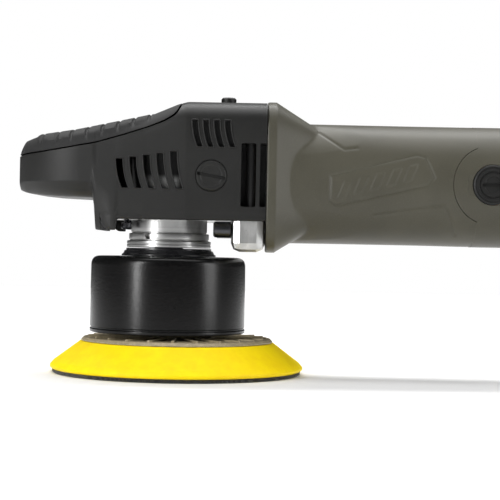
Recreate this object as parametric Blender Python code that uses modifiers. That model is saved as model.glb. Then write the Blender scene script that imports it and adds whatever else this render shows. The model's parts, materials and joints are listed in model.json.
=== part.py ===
"""Dual action polisher: the assembly as separate solids.

The origin is on the spindle axis, in the plane of the pad face. +X points to the rear handle, +Z up,
and the tool's left side is -Y. Every size below is in millimetres; MM turns it into metres.
"""
import math

import bmesh
import bpy
from mathutils import Matrix, Vector

MM = 0.001

# ---- Driving dimensions ---------------------------------------------------------------------------
GAP = 0.3                   # between pieces that touch
RUN = 0.8                   # around pieces that turn or slide

PLATE_RADIUS = 75.2         # foam, at its widest
PLATE_TOP_RADIUS = 57.4     # foam and stiff disc, where they meet
HOOK_THICKNESS = 2.0
HOOK_INSET = 1.4            # hook face edge, inside the foam edge
FOAM_HEIGHT = 16.5
DISC_THICKNESS = 1.9
ORBIT_OFFSET = 6.0          # plate axis from spindle axis, half of a 12 mm orbit
STUD_RADIUS = 3.7
STUD_LENGTH = 17.0

SHROUD_LIFT = 3.2           # free space over the plate
SHROUD_HEIGHT = 44.9
SHROUD_RADIUS = 46.4
SHROUD_TAPER = 0.5
SHROUD_SHOULDER = 5.0
SHROUD_WALL = 2.4
NECK_RADIUS = 27.5
NECK_HEIGHT = 4.6
COLLAR_RADIUS = 24.6
COLLAR_HEIGHT = 16.1
COLLAR_LIP = 6.4            # under the lower bearing
COLLAR_FLANGE = 1.6
COLLAR_FLANGE_RADIUS = 31.5

SPINDLE_RADIUS = 8.5
SPINDLE_TOP_RADIUS = 7.0
LOWER_BEARING = (19.0, 11.5)        # outer radius, width
UPPER_BEARING = (13.0, 9.0)
PLATE_BEARING = (15.0, 12.0)
PLATE_SPINDLE_RADIUS = 6.0

GEAR_TEETH = 30
PINION_TEETH = 10
GEAR_RADIUS = 28.0          # pitch radius at the large end
GEAR_FACE = 0.27            # share of the cone distance that the teeth take
GEAR_BODY = 9.37            # pitch plane above the gear's underside
CASE_FLOOR = 3.6
CASE_WALL = 3.5

HEAD_HALF_WIDTH = 40.0
HEAD_NOSE = 89.5            # nose tip ahead of the spindle axis
HEAD_REAR = 57.2
HEAD_WALL = 3.0
HEAD_EDGE = 10.0            # radius along the cover's long edges
HEAD_CROWN = 3.0            # fall of its top from the middle to the sides

HOUSING_RADIUS = 35.5
HOUSING_WALL = 4.5
BELL_LENGTH = 5.0
SEAM_X = 179.6              # rear end of the motor housing
BRUSH_X = 187.6
LOBE_RADIUS = 22.7          # part of the handle that reaches forward around each brush
BRUSH_CAP_RADIUS = 11.5
HANDLE_END = 350.0
HANDLE_WALL = 2.6
GLAND_LENGTH = 35.0
CORD_RADIUS = 4.0

ARMATURE_RADIUS = 20.0
STATOR_GAP = 1.0
SHAFT_RADIUS = 5.0
FRONT_BEARING = (15.0, 9.5)
REAR_BEARING = (9.5, 7.0)
COMMUTATOR_RADIUS = 13.0

LOCK_X = 34.3
LOCK_TRAVEL = 4.0
LOCK_PIN_RADIUS = 2.0
LOCK_NOTCHES = 4
TRIGGER_HALF_WIDTH = 8.3
DIAL_RADIUS = 11.0

# ---- Heights that follow --------------------------------------------------------------------------
FOAM_BOTTOM = HOOK_THICKNESS + GAP
FOAM_TOP = FOAM_BOTTOM + FOAM_HEIGHT
DISC_BOTTOM = FOAM_TOP + GAP
DISC_TOP = DISC_BOTTOM + DISC_THICKNESS
SHROUD_BOTTOM = DISC_TOP + SHROUD_LIFT
SHROUD_TOP = SHROUD_BOTTOM + SHROUD_HEIGHT
NECK_BOTTOM = SHROUD_TOP + GAP
NECK_TOP = NECK_BOTTOM + NECK_HEIGHT
COLLAR_BOTTOM = NECK_TOP + GAP
COLLAR_TOP = COLLAR_BOTTOM + COLLAR_HEIGHT
CASE_BOTTOM = COLLAR_TOP + GAP
CAVITY_BOTTOM = CASE_BOTTOM + CASE_FLOOR
GEAR_BOTTOM = CAVITY_BOTTOM + 1.0
PINION_RADIUS = GEAR_RADIUS * PINION_TEETH / GEAR_TEETH
MOTOR_Z = GEAR_BOTTOM + GEAR_BODY + PINION_RADIUS
UPPER_BEARING_BOTTOM = MOTOR_Z + 4.5
CASE_TOP = UPPER_BEARING_BOTTOM + UPPER_BEARING[1] + CASE_WALL
GEAR_CAVITY_RADIUS = GEAR_RADIUS + 3.0
CASE_RADIUS = GEAR_CAVITY_RADIUS + CASE_WALL
CASE_HALF_WIDTH = HEAD_HALF_WIDTH - HEAD_WALL - 1.0
BELL_X = HEAD_REAR + GAP + 0.1

# ---- Scene and helpers ----------------------------------------------------------------------------
for old in list(bpy.data.objects):
    bpy.data.objects.remove(old, do_unlink=True)

PARTS = bpy.data.collections.new("dual_action_polisher")
CUTTERS = bpy.data.collections.new("cutters")
for collection in (PARTS, CUTTERS):
    bpy.context.scene.collection.children.link(collection)

FINISHES = {                # colour, roughness, metallic
    "black_plastic": ((0.020, 0.020, 0.019), 0.55, 0.0),
    "palm_rubber": ((0.016, 0.016, 0.016), 0.75, 0.0),
    "olive_plastic": ((0.125, 0.117, 0.093), 0.45, 0.0),
    "shroud_plastic": ((0.012, 0.012, 0.012), 0.40, 0.0),
    "gloss_ring": ((0.010, 0.010, 0.011), 0.20, 0.0),
    "cast_metal": ((0.52, 0.52, 0.51), 0.42, 1.0),
    "turned_metal": ((0.62, 0.62, 0.61), 0.25, 1.0),
    "dark_steel": ((0.09, 0.09, 0.095), 0.40, 1.0),
    "copper": ((0.70, 0.32, 0.16), 0.35, 1.0),
    "laminations": ((0.30, 0.30, 0.31), 0.50, 1.0),
    "insulation": ((0.30, 0.26, 0.20), 0.60, 0.0),
    "graphite": ((0.05, 0.05, 0.05), 0.70, 0.2),
    "foam": ((0.95, 0.87, 0.03), 0.60, 0.0),
    "disc_plastic": ((0.28, 0.24, 0.15), 0.50, 0.0),
    "hooks": ((0.010, 0.010, 0.010), 0.90, 0.0),
}


def set_finish(part, finish):
    """Give a part its own Principled material."""
    colour, roughness, metallic = FINISHES[finish]
    material = bpy.data.materials.new(part.name + "_" + finish)
    material.use_nodes = True
    shader = material.node_tree.nodes["Principled BSDF"]
    shader.inputs["Base Color"].default_value = (*colour, 1.0)
    shader.inputs["Roughness"].default_value = roughness
    shader.inputs["Metallic"].default_value = metallic
    part.data.materials.append(material)


def add_object(name, mesh, finish=None):
    """Link a mesh as a part, or as a cutter where it has no finish."""
    item = bpy.data.objects.new(name, mesh)
    if finish is None:
        CUTTERS.objects.link(item)
        item.hide_render = True
        item.display_type = "WIRE"
    else:
        PARTS.objects.link(item)
        set_finish(item, finish)
    return item


def from_bmesh(name, bm, finish=None):
    """Write a bmesh in millimetres to a new object in metres."""
    bmesh.ops.scale(bm, vec=(MM, MM, MM), verts=bm.verts)
    mesh = bpy.data.meshes.new(name)
    bm.to_mesh(mesh)
    bm.free()
    return add_object(name, mesh, finish)


def shade_round(item):
    """Smooth a turned mesh and keep its corners sharp."""
    item.data.shade_smooth()
    item.data.set_sharp_from_angle(angle=math.radians(35))


def bevel(item, width, segments=2):
    """Round the edges of a box or an outline."""
    modifier = item.modifiers.new("rounded", "BEVEL")
    modifier.width = width * MM
    modifier.segments = segments
    modifier.limit_method = "ANGLE"
    modifier.angle_limit = math.radians(40)


def box(name, low, high, finish=None, rounded=0.0):
    """Box between two corners, with its origin at its middle."""
    bm = bmesh.new()
    bmesh.ops.create_cube(bm, size=1.0)
    size = Vector(high) - Vector(low)
    bmesh.ops.scale(bm, vec=size, verts=bm.verts)
    item = from_bmesh(name, bm, finish)
    item.location = (Vector(low) + Vector(high)) * 0.5 * MM
    if rounded:
        bevel(item, rounded)
    return item


AXIS_TURN = {"X": (0.0, math.pi / 2, 0.0), "Y": (-math.pi / 2, 0.0, 0.0), "Z": (0.0, 0.0, 0.0)}


def rod(name, centre, radius, length, axis="Z", finish=None, sides=24, turn=0.0):
    """Cylinder along an axis, about its centre; turn swings it about +Z first."""
    bm = bmesh.new()
    bmesh.ops.create_cone(bm, cap_ends=True, segments=sides, radius1=radius, radius2=radius,
                          depth=length, matrix=Matrix.Rotation(turn, 4, "Z"))
    item = from_bmesh(name, bm, finish)
    item.rotation_euler = AXIS_TURN[axis]
    item.location = Vector(centre) * MM
    if finish:
        shade_round(item)
    return item


def turned(name, outline, centre, axis="Z", finish=None, steps=32):
    """Solid of revolution. The outline is (radius, height) pairs: open from axis to axis, or a loop."""
    solid = outline[0][0] == 0.0 and outline[-1][0] == 0.0
    area = sum(a[0] * b[1] - b[0] * a[1] for a, b in zip(outline, outline[1:] + outline[:1]))
    points = outline if area < 0 else outline[::-1]
    edges = [(i, i + 1) for i in range(len(points) - 1)]
    if not solid:
        edges.append((len(points) - 1, 0))
    mesh = bpy.data.meshes.new(name)
    mesh.from_pydata([(r * MM, 0.0, h * MM) for r, h in points], edges, [])
    item = add_object(name, mesh, finish)
    item.rotation_euler = AXIS_TURN[axis]
    item.location = Vector(centre) * MM
    screw = item.modifiers.new("turned", "SCREW")
    screw.axis = "Z"
    screw.angle = 2 * math.pi
    screw.steps = screw.render_steps = steps
    screw.use_merge_vertices = True
    screw.merge_threshold = 0.00001
    screw.use_smooth_shade = True
    return item


def ring_outline(inner, outer, bottom, top, edge=0.0):
    """Section of a plain ring, with its outer corners broken by edge."""
    if not edge:
        return [(outer, top), (outer, bottom), (inner, bottom), (inner, top)]
    return [(outer - edge, top), (outer, top - edge), (outer, bottom + edge), (outer - edge, bottom),
            (inner, bottom), (inner, top)]


def bearing(name, size, inner, centre, axis, steps=20):
    """Ball bearing as one closed ring, its width centred."""
    outer, width = size
    outline = ring_outline(inner, outer, -width / 2, width / 2)
    return turned(name, outline, centre, axis, "turned_metal", steps)


def loft(name, rings, finish=None):
    """Skin over sections with equal numbers of points, closed by a flat face at both ends."""
    bm = bmesh.new()
    rows = [[bm.verts.new(point) for point in ring] for ring in rings]
    count = len(rows[0])
    for row, after in zip(rows, rows[1:]):
        for i in range(count):
            j = (i + 1) % count
            bm.faces.new((row[i], row[j], after[j], after[i]))
    bm.faces.new(rows[0][::-1])
    bm.faces.new(rows[-1])
    bmesh.ops.recalc_face_normals(bm, faces=bm.faces)
    item = from_bmesh(name, bm, finish)
    if finish:
        shade_round(item)
    return item


def rounded_ring(x, half_width, bottom, top, radius, per_corner=4):
    """Section across X: a rectangle with round corners."""
    radius = min(radius, half_width * 0.98, (top - bottom) * 0.49)
    corners = ((1, top, 0.0), (-1, top, math.pi / 2), (-1, bottom, math.pi), (1, bottom, -math.pi / 2))
    ring = []
    for side, height, start in corners:
        centre_y = side * (half_width - radius)
        centre_z = height - radius if height == top else height + radius
        for i in range(per_corner + 1):
            angle = start + i * math.pi / 2 / per_corner
            ring.append((x, centre_y + radius * math.cos(angle), centre_z + radius * math.sin(angle)))
    return ring


def outline_plate(name, points, y_low, y_high, finish=None):
    """Flat outline in X and Z, a filled 2D curve extruded along Y, and made a mesh."""
    curve = bpy.data.curves.new(name, "CURVE")
    curve.dimensions = "2D"
    curve.fill_mode = "BOTH"
    curve.extrude = (y_high - y_low) / 2 * MM
    spline = curve.splines.new("POLY")
    spline.points.add(len(points) - 1)
    for point, (x, z) in zip(spline.points, points):
        point.co = (x * MM, z * MM, 0.0, 1.0)
    spline.use_cyclic_u = True
    turn = Matrix.Rotation(math.pi / 2, 4, "X")
    place = Matrix.Translation((0.0, (y_low + y_high) / 2 * MM, 0.0))
    return curve_to_mesh(name, curve, place @ turn, finish)


def curve_to_mesh(name, curve, place, finish=None):
    """Turn a curve into a welded mesh object at the same place."""
    source = bpy.data.objects.new(name + "_curve", curve)
    bpy.context.scene.collection.objects.link(source)
    source.matrix_world = place
    bpy.context.view_layer.update()
    graph = bpy.context.evaluated_depsgraph_get()
    mesh = bpy.data.meshes.new_from_object(source.evaluated_get(graph))
    bm = bmesh.new()
    bm.from_mesh(mesh)
    bmesh.ops.remove_doubles(bm, verts=bm.verts, dist=0.000001)
    bmesh.ops.recalc_face_normals(bm, faces=bm.faces)
    bm.to_mesh(mesh)
    bm.free()
    mesh.materials.clear()
    item = add_object(name, mesh, finish)
    item.matrix_world = source.matrix_world
    bpy.data.objects.remove(source, do_unlink=True)
    return item


def coil(name, centre, radius, wire, length, turns, axis="Z"):
    """Compression spring as one wire, centred, made of straight lengths."""
    per_turn = 7
    count = turns * per_turn + 1
    curve = bpy.data.curves.new(name, "CURVE")
    curve.dimensions = "3D"
    curve.bevel_depth = wire * MM
    curve.bevel_resolution = 2
    curve.use_fill_caps = True
    spline = curve.splines.new("POLY")
    spline.points.add(count - 1)
    rise = (length - 2 * wire) / (count - 1)
    for i, point in enumerate(spline.points):
        angle = 2 * math.pi * i / per_turn
        height = -length / 2 + wire + rise * i
        point.co = (radius * math.cos(angle) * MM, radius * math.sin(angle) * MM, height * MM, 1.0)
    turn = Matrix.Identity(4) if axis == "Z" else Matrix.Rotation(-math.pi / 2, 4, "X")
    place = Matrix.Translation(Vector(centre) * MM) @ turn
    return curve_to_mesh(name, curve, place, "turned_metal")


def boolean(target, tool, operation):
    """Cut, join or trim a part with another object."""
    modifier = target.modifiers.new(operation.lower() + "_" + tool.name, "BOOLEAN")
    modifier.object = tool
    modifier.operation = operation
    modifier.solver = "EXACT"


def cut(target, *tools):
    """Take every tool out of the target."""
    for tool in tools:
        boolean(target, tool, "DIFFERENCE")


def join(target, *tools):
    """Grow the target by every tool."""
    for tool in tools:
        boolean(target, tool, "UNION")


def carrier(name, place, *parts):
    """Empty on a joint's axis that carries the parts which move about it."""
    empty = bpy.data.objects.new(name, None)
    empty.location = Vector(place) * MM
    bpy.context.scene.collection.objects.link(empty)
    for part in parts:
        part.parent = empty
        part.matrix_parent_inverse = Matrix.Translation(-Vector(place) * MM)
    return empty


def along(line, x):
    """Height of a line of (x, height) points at x, held level past its ends."""
    if x <= line[0][0]:
        return line[0][1]
    for (x0, z0), (x1, z1) in zip(line, line[1:]):
        if x <= x1:
            return z0 + (z1 - z0) * (x - x0) / (x1 - x0)
    return line[-1][1]


# ---- Plate: hook face, foam, stiff disc and its stud ----------------------------------------------
def make_plate():
    """The 150 mm backing plate, centred on the orbiting axis, and the spindle it screws into."""
    centre = (ORBIT_OFFSET, 0.0, 0.0)
    hook_radius = PLATE_RADIUS - HOOK_INSET
    hook = turned("hook_face", [(0.0, HOOK_THICKNESS), (hook_radius, HOOK_THICKNESS),
                                (hook_radius, 0.0), (0.0, 0.0)], centre, "Z", "hooks", 64)
    foam = turned("plate_foam", [(0.0, FOAM_TOP), (PLATE_TOP_RADIUS, FOAM_TOP),
                                 (PLATE_RADIUS, FOAM_BOTTOM + 1.4), (PLATE_RADIUS - 0.7, FOAM_BOTTOM),
                                 (0.0, FOAM_BOTTOM)], centre, "Z", "foam", 64)
    hub = 16.0
    hub_top = DISC_TOP + 1.2
    stud_top = hub_top + STUD_LENGTH
    disc = turned("plate_disc", [(0.0, stud_top), (STUD_RADIUS, stud_top), (STUD_RADIUS, hub_top),
                                 (hub, hub_top), (hub + 1.2, DISC_TOP),
                                 (PLATE_TOP_RADIUS - 1.0, DISC_TOP),
                                 (PLATE_TOP_RADIUS - 0.4, DISC_BOTTOM), (0.0, DISC_BOTTOM)],
                  centre, "Z", "disc_plastic", 40)
    bottom = hub_top + GAP
    bore = STUD_RADIUS + GAP
    flange_top = bottom + 4.5
    top = PLATE_BEARING_TOP + 1.2
    spindle = turned("plate_spindle", [(0.0, top), (PLATE_SPINDLE_RADIUS, top),
                                       (PLATE_SPINDLE_RADIUS, flange_top), (9.0, flange_top),
                                       (9.0, bottom), (bore, bottom), (bore, stud_top + 1.0),
                                       (0.0, stud_top + 1.0)], centre, "Z", "turned_metal", 24)
    return carrier("plate_axis", centre, hook, foam, disc, spindle)


PLATE_BEARING_BOTTOM = DISC_TOP + 1.2 + GAP + 4.5 + 1.0
PLATE_BEARING_TOP = PLATE_BEARING_BOTTOM + PLATE_BEARING[1]
CRANK_POCKET_TOP = PLATE_BEARING_TOP + 2.0
CRANK_TOP = CRANK_POCKET_TOP + 9.0


# ---- Crank: spindle with the eccentric pocket, counterweight and ring gear --------------------------
def make_crank():
    """The spindle, its eccentric pocket with the plate bearing, the counterweight and the gear."""
    shoulder = GEAR_BOTTOM - 0.5
    top = UPPER_BEARING_BOTTOM + UPPER_BEARING[1] - 1.0
    crank_radius = PLATE_BEARING[0] + 4.5
    spindle = turned("crank_spindle",
                     [(0.0, top), (SPINDLE_TOP_RADIUS, top), (SPINDLE_TOP_RADIUS, shoulder),
                                       (SPINDLE_RADIUS, shoulder), (SPINDLE_RADIUS, CRANK_TOP),
                                       (26.0, CRANK_TOP), (26.0, CRANK_POCKET_TOP - 1.0),
                                       (0.0, CRANK_POCKET_TOP - 1.0)], (0, 0, 0), "Z", "dark_steel", 32)
    pocket_height = CRANK_POCKET_TOP + 2.0 - PLATE_BEARING_BOTTOM
    pocket_middle = PLATE_BEARING_BOTTOM + pocket_height / 2
    eye = rod("crank_eye", (ORBIT_OFFSET, 0, pocket_middle), crank_radius, pocket_height, sides=32)
    bore_top = PLATE_BEARING_TOP + GAP
    bore = rod("crank_bore", (ORBIT_OFFSET, 0, bore_top - 10.0), PLATE_BEARING[0] + GAP, 20.0, sides=24)
    relief = rod("crank_relief", (ORBIT_OFFSET, 0, bore_top), PLATE_SPINDLE_RADIUS + 2.0, 4.4, sides=24)
    join(spindle, eye)
    cut(spindle, bore, relief)
    seat = bearing("plate_bearing", PLATE_BEARING, PLATE_SPINDLE_RADIUS + GAP,
                   (ORBIT_OFFSET, 0, PLATE_BEARING_BOTTOM + PLATE_BEARING[1] / 2), "Z")
    weight = make_counterweight()
    gear = bevel_gear("ring_gear", GEAR_TEETH, GEAR_RADIUS, PINION_RADIUS, SPINDLE_TOP_RADIUS + GAP,
                      GEAR_BODY, 0.0, "dark_steel")
    gear.matrix_world = Matrix.Translation((0, 0, MOTOR_Z * MM)) @ Matrix.Rotation(math.pi, 4, "X")
    return carrier("spindle_axis", (0, 0, 0), spindle, seat, weight, gear)


def make_counterweight():
    """Thick sector on the crank, opposite the plate axis."""
    bottom = CRANK_TOP + GAP
    top = SHROUD_TOP - SHROUD_WALL - RUN - 0.8
    outer = SHROUD_RADIUS - SHROUD_TAPER - SHROUD_WALL - 3.0
    weight = turned("counterweight", ring_outline(SPINDLE_RADIUS + GAP, outer, bottom, top, 1.5),
                    (0, 0, 0), "Z", "cast_metal", 32)
    trim = box("counterweight_trim", (6.0, -60, bottom - 5), (60, 60, top + 5))
    cut(weight, trim)
    return weight


# ---- Bevel gears ------------------------------------------------------------------------------------
def tooth_ring(teeth, radius, height, share, first):
    """Outline of one end of a straight bevel gear: root, flank, tip and flank for each tooth.

    The axis is Z, the apex of the pitch cone is the origin and the pitch circle lies at +height.
    share scales the outline towards the apex.
    """
    cone = math.hypot(radius, height)
    module = 2 * radius / teeth
    lean_r, lean_h = height / cone, -radius / cone
    tip, root = 0.85 * module, -1.2 * module
    half_pitch = math.pi / teeth
    half_tip, half_root = 0.20 * half_pitch, 0.60 * half_pitch
    ring = []
    for k in range(teeth):
        middle = first + 2 * half_pitch * k
        corners = ((-half_root, root), (-half_tip, tip), (half_tip, tip), (half_root, root))
        for swing, rise in corners:
            r = (radius + rise * lean_r) * share
            h = (height + rise * lean_h) * share
            ring.append((r * math.cos(middle + swing), r * math.sin(middle + swing), h))
    return ring


def circle_ring(count, radius, height, first):
    """Plain circle of points."""
    return [(radius * math.cos(first + 2 * math.pi * k / count),
             radius * math.sin(first + 2 * math.pi * k / count), height) for k in range(count)]


def stitch(bm, lower, upper):
    """Triangles between two rings of vertices with unlike counts, walked by angle."""
    def turns(ring):
        angles = [math.atan2(v.co.y, v.co.x) for v in ring]
        out = [angles[0]]
        for angle in angles[1:]:
            out.append(out[-1] + (angle - out[-1] + math.pi) % (2 * math.pi) - math.pi)
        return out + [out[0] + 2 * math.pi]
    low_turns, high_turns = turns(lower), turns(upper)
    i = j = 0
    while i < len(lower) or j < len(upper):
        a, b = lower[i % len(lower)], upper[j % len(upper)]
        step_low = j == len(upper) or (i < len(lower) and low_turns[i + 1] <= high_turns[j + 1])
        if step_low:
            bm.faces.new((a, lower[(i + 1) % len(lower)], b))
            i += 1
        else:
            bm.faces.new((a, upper[(j + 1) % len(upper)], b))
            j += 1


def bevel_gear(name, teeth, radius, height, bore, body, first, finish):
    """Straight bevel gear about Z with its apex at the origin and its back at height + body."""
    half_root = 0.60 * math.pi / teeth
    start = first - half_root
    bore_count, back_count = 20, 40
    bm = bmesh.new()
    small = 1.0 - GEAR_FACE
    levels = [
        circle_ring(bore_count, bore, height * small + 0.4, start),
        tooth_ring(teeth, radius, height, small, first),
        tooth_ring(teeth, radius, height, 1.0, first),
        circle_ring(back_count, radius - 0.6 * radius / teeth, height + body, start),
        circle_ring(bore_count, bore, height + body, start),
    ]
    rows = [[bm.verts.new(point) for point in ring] for ring in levels]
    for row, after in zip(rows, rows[1:] + rows[:1]):
        stitch(bm, row, after)
    bmesh.ops.recalc_face_normals(bm, faces=bm.faces)
    return from_bmesh(name, bm, finish)


# ---- Skirt, neck and collar -------------------------------------------------------------------------
def make_skirt():
    """Shroud, neck ring, bearing collar and the bearings and screws that go with them."""
    top_radius = SHROUD_RADIUS - SHROUD_TAPER
    shoulder = [(top_radius - SHROUD_SHOULDER * (1 - math.sin(a)),
                 SHROUD_TOP - SHROUD_SHOULDER * (1 - math.cos(a)))
                for a in (0.0, math.pi / 6, math.pi / 3, math.pi / 2)]
    inner_radius = top_radius - SHROUD_WALL
    hole = SPINDLE_RADIUS + 4.0
    outline = [(hole, SHROUD_TOP)] + shoulder + [
        (SHROUD_RADIUS, SHROUD_BOTTOM), (SHROUD_RADIUS - SHROUD_WALL, SHROUD_BOTTOM),
        (inner_radius, SHROUD_TOP - SHROUD_SHOULDER), (inner_radius - 3.0, SHROUD_TOP - SHROUD_WALL),
        (hole, SHROUD_TOP - SHROUD_WALL)]
    turned("shroud", outline, (0, 0, 0), "Z", "shroud_plastic", 48)
    turned("neck_ring", ring_outline(hole, NECK_RADIUS, NECK_BOTTOM, NECK_TOP, 1.0), (0, 0, 0), "Z",
           "gloss_ring", 36)
    bearing_outer, bearing_width = LOWER_BEARING
    seat = bearing_outer + GAP
    lip = COLLAR_BOTTOM + COLLAR_LIP
    spigot_top = lip + bearing_width + 0.6
    flange_bottom = COLLAR_TOP - COLLAR_FLANGE
    collar = turned("bearing_collar", [
        (seat + 1.6, spigot_top), (seat + 1.6, COLLAR_TOP), (COLLAR_FLANGE_RADIUS, COLLAR_TOP),
        (COLLAR_FLANGE_RADIUS, flange_bottom), (COLLAR_RADIUS - 0.8, flange_bottom),
        (COLLAR_RADIUS - 0.8, COLLAR_BOTTOM + 4.3), (COLLAR_RADIUS, COLLAR_BOTTOM + 4.3),
        (COLLAR_RADIUS, COLLAR_BOTTOM), (hole, COLLAR_BOTTOM), (hole, lip), (seat, lip),
        (seat, spigot_top)],
        (0, 0, 0), "Z", "turned_metal", 36)
    bearing("lower_bearing", LOWER_BEARING, SPINDLE_RADIUS + GAP,
            (0, 0, lip + GAP + bearing_width / 2), "Z")
    bearing("upper_bearing", UPPER_BEARING, SPINDLE_TOP_RADIUS + GAP,
            (0, 0, UPPER_BEARING_BOTTOM + UPPER_BEARING[1] / 2), "Z")
    for name, side in (("collar_screw_left", -1), ("collar_screw_right", 1)):
        place = (-COLLAR_SCREW[0], side * COLLAR_SCREW[1], 0)
        screw_hole = rod(name + "_hole", (place[0], place[1], COLLAR_TOP), 1.8, 12.0, sides=12)
        cut(collar, screw_hole)
        turned(name, [(0.0, CASE_BOTTOM + 2.6), (1.5, CASE_BOTTOM + 2.6), (1.5, flange_bottom - GAP),
                      (3.2, flange_bottom - GAP), (3.2, flange_bottom - 3.8),
                      (0.0, flange_bottom - 3.8)],
               place, "Z", "dark_steel", 12)


COLLAR_SCREW = (24.5, 13.5)     # ahead of the spindle axis, and to each side


# ---- Gear case --------------------------------------------------------------------------------------
FLANGE_SCREW = (29.5, 28.5)     # to each side of the motor axis, and above and below it
FLANGE_FRONT = 37.5
SHAFT_SPACE = 12.5              # bore around the pinion and the lock collar
FRONT_BEARING_X = 46.4


def make_gear_case():
    """The casting around the gears, with the flange that the motor bolts to."""
    case = rod("gear_case", (0, 0, (CASE_BOTTOM + CASE_TOP) / 2), CASE_RADIUS, CASE_TOP - CASE_BOTTOM,
               "Z", "cast_metal", 36)
    block_top = MOTOR_Z + 38.0
    flange_bottom = MOTOR_Z - HOUSING_RADIUS - 5.7
    wide = CASE_HALF_WIDTH
    block = box("case_block", (12.0, -wide, CASE_BOTTOM), (HEAD_REAR, wide, block_top))
    flange = box("case_flange", (FLANGE_FRONT, -wide, flange_bottom),
                 (HEAD_REAR - 0.01, wide, CASE_BOTTOM + 6),
                 None, 5.0)
    join(case, block, flange)
    pocket_top = MOTOR_Z + 3.0
    pocket = rod("gear_pocket", (0, 0, (CAVITY_BOTTOM + pocket_top) / 2), GEAR_CAVITY_RADIUS,
                 pocket_top - CAVITY_BOTTOM, sides=32)
    floor_hole = rod("floor_hole", (0, 0, CAVITY_BOTTOM), LOWER_BEARING[0] + 1.6 + 2 * GAP, 12.0,
                     sides=32)
    top_seat_high = UPPER_BEARING_BOTTOM + UPPER_BEARING[1] + GAP
    top_seat = rod("top_seat", (0, 0, (MOTOR_Z + top_seat_high) / 2), UPPER_BEARING[0] + GAP,
                   top_seat_high - MOTOR_Z, sides=24)
    tunnel_end = FRONT_BEARING_X - FRONT_BEARING[1] / 2 - 0.5
    tunnel = rod("shaft_tunnel", ((14.5 + tunnel_end + 1) / 2, 0, MOTOR_Z), SHAFT_SPACE,
                 tunnel_end + 1 - 14.5,
                 "X", sides=20)
    seat = rod("front_seat", ((tunnel_end + HEAD_REAR + 5) / 2, 0, MOTOR_Z), FRONT_BEARING[0] + GAP,
               HEAD_REAR + 5 - tunnel_end, "X", sides=24)
    pin_hole = rod("pin_hole", (LOCK_X, 0, block_top - 12), LOCK_PIN_RADIUS + 0.6, 34.0, sides=12)
    spring_hole = rod("spring_hole", (LOCK_X, 0, block_top), 6.0, 2 * LOCK_WELL, sides=12)
    cut(case, pocket, floor_hole, top_seat, tunnel, seat, pin_hole, spring_hole)
    add_exhausts(case, wide)
    for name, side, rise in (("flange_screw_upper_left", -1, 1), ("flange_screw_upper_right", 1, 1),
                             ("flange_screw_lower_left", -1, -1), ("flange_screw_lower_right", 1, -1)):
        place = (0, side * FLANGE_SCREW[0], MOTOR_Z + rise * FLANGE_SCREW[1])
        front = FLANGE_FRONT
        if rise > 0:
            well = rod(name + "_well", (FLANGE_FRONT - 20.0, place[1], place[2]), 5.0, 40.0, "X",
                       sides=12)
            cut(case, well)
        hole = rod(name + "_hole", (FLANGE_FRONT + 10, place[1], place[2]), 2.3, 40.0, "X", sides=12)
        cut(case, hole)
        head, tall = (3.6, 4.0) if rise > 0 else (4.6, 10.0)
        seat = front - GAP
        turned(name, [(0.0, BELL_X + 5.0), (2.0, BELL_X + 5.0), (2.0, seat), (head, seat),
                      (head, seat - tall), (0.0, seat - tall)], place, "X", "dark_steel", 12)
    for name, side in (("left", -1), ("right", 1)):
        cut(case,
            rod("seat_hole_" + name, (PLUG_X, side * (wide - 6), MOTOR_Z + PLUG_RISE), 4.3, 16.0, "Y",
                      sides=16))
        cut(case,
            rod("case_screw_hole_" + name, (-COLLAR_SCREW[0], side * COLLAR_SCREW[1], CASE_BOTTOM),
                      1.8, 6.0, sides=12))
    bearing("front_bearing", FRONT_BEARING, SHAFT_RADIUS + GAP, (FRONT_BEARING_X, 0, MOTOR_Z), "X")
    return case


def add_exhausts(case, wide):
    """Pocket behind each pair of exhaust windows, with a round pillar, where the fan's air leaves."""
    low, high = MOTOR_Z + EXHAUST[0], MOTOR_Z + EXHAUST[1]
    for name, side in (("left", -1), ("right", 1)):
        inner, outer = sorted((side * (wide - EXHAUST_DEPTH), side * (wide + 1.0)))
        cut(case, box("exhaust_" + name, (EXHAUST_X - 5.6, inner, low), (HEAD_REAR + 1.0, outer, high)))
        join(case, rod("pillar_" + name, (EXHAUST_X + 1.3, side * (wide - 4.5), (low + high) / 2), 2.8,
                       high - low + 1.0, "Z", sides=16))


EXHAUST = (-15.4, 21.0)     # windows, over the motor axis
EXHAUST_X = 46.9
EXHAUST_DEPTH = 10.0
LOCK_WELL = 7.0
PLUG_X = 25.6
PLUG_RISE = 2.0
PLUG_RADIUS = 8.9


# ---- Head cover and palm grip -----------------------------------------------------------------------
HEAD_TOP = 47.2             # above the motor axis
HEAD_SIDE_BOTTOM = -23.5
# (x, height over the motor axis) along the middle of the cover
TOP_LINE = [(-HEAD_NOSE, 14.0), (-88.3, 18.0), (-84.5, 22.5), (-76.0, 25.4), (-54.5, 28.9),
            (-33.0, 33.5),
            (-12.8, 38.0), (5.0, 45.6), (11.0, HEAD_TOP), (HEAD_REAR, HEAD_TOP)]
BOTTOM_LINE = [(-HEAD_NOSE, -5.0), (-88.3, -7.0), (-84.5, -8.5), (-76.0, -9.8), (-66.0, -10.6),
               (-42.3, -11.6), (-41.7, -28.0), (-40.4, -30.0), (-30.0, -30.0),
               (-28.8, HEAD_SIDE_BOTTOM),
               (HEAD_REAR, HEAD_SIDE_BOTTOM)]
SEAM_LINE = [(-HEAD_NOSE, 13.8), (-73.3, 15.3), (-59.0, 17.4), (-41.1, 20.7), (-25.7, 25.2),
             (-12.0, 29.7),
             (-2.5, 33.5), (3.4, 37.2), (6.3, 40.9), (6.9, 45.0)]
HEAD_TAPER_START = 11.0
HEAD_TAPER = 0.075
NOSE_START = -50.0
NOSE_FLOOR_END = -38.0       # the nose is closed underneath up to here


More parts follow.
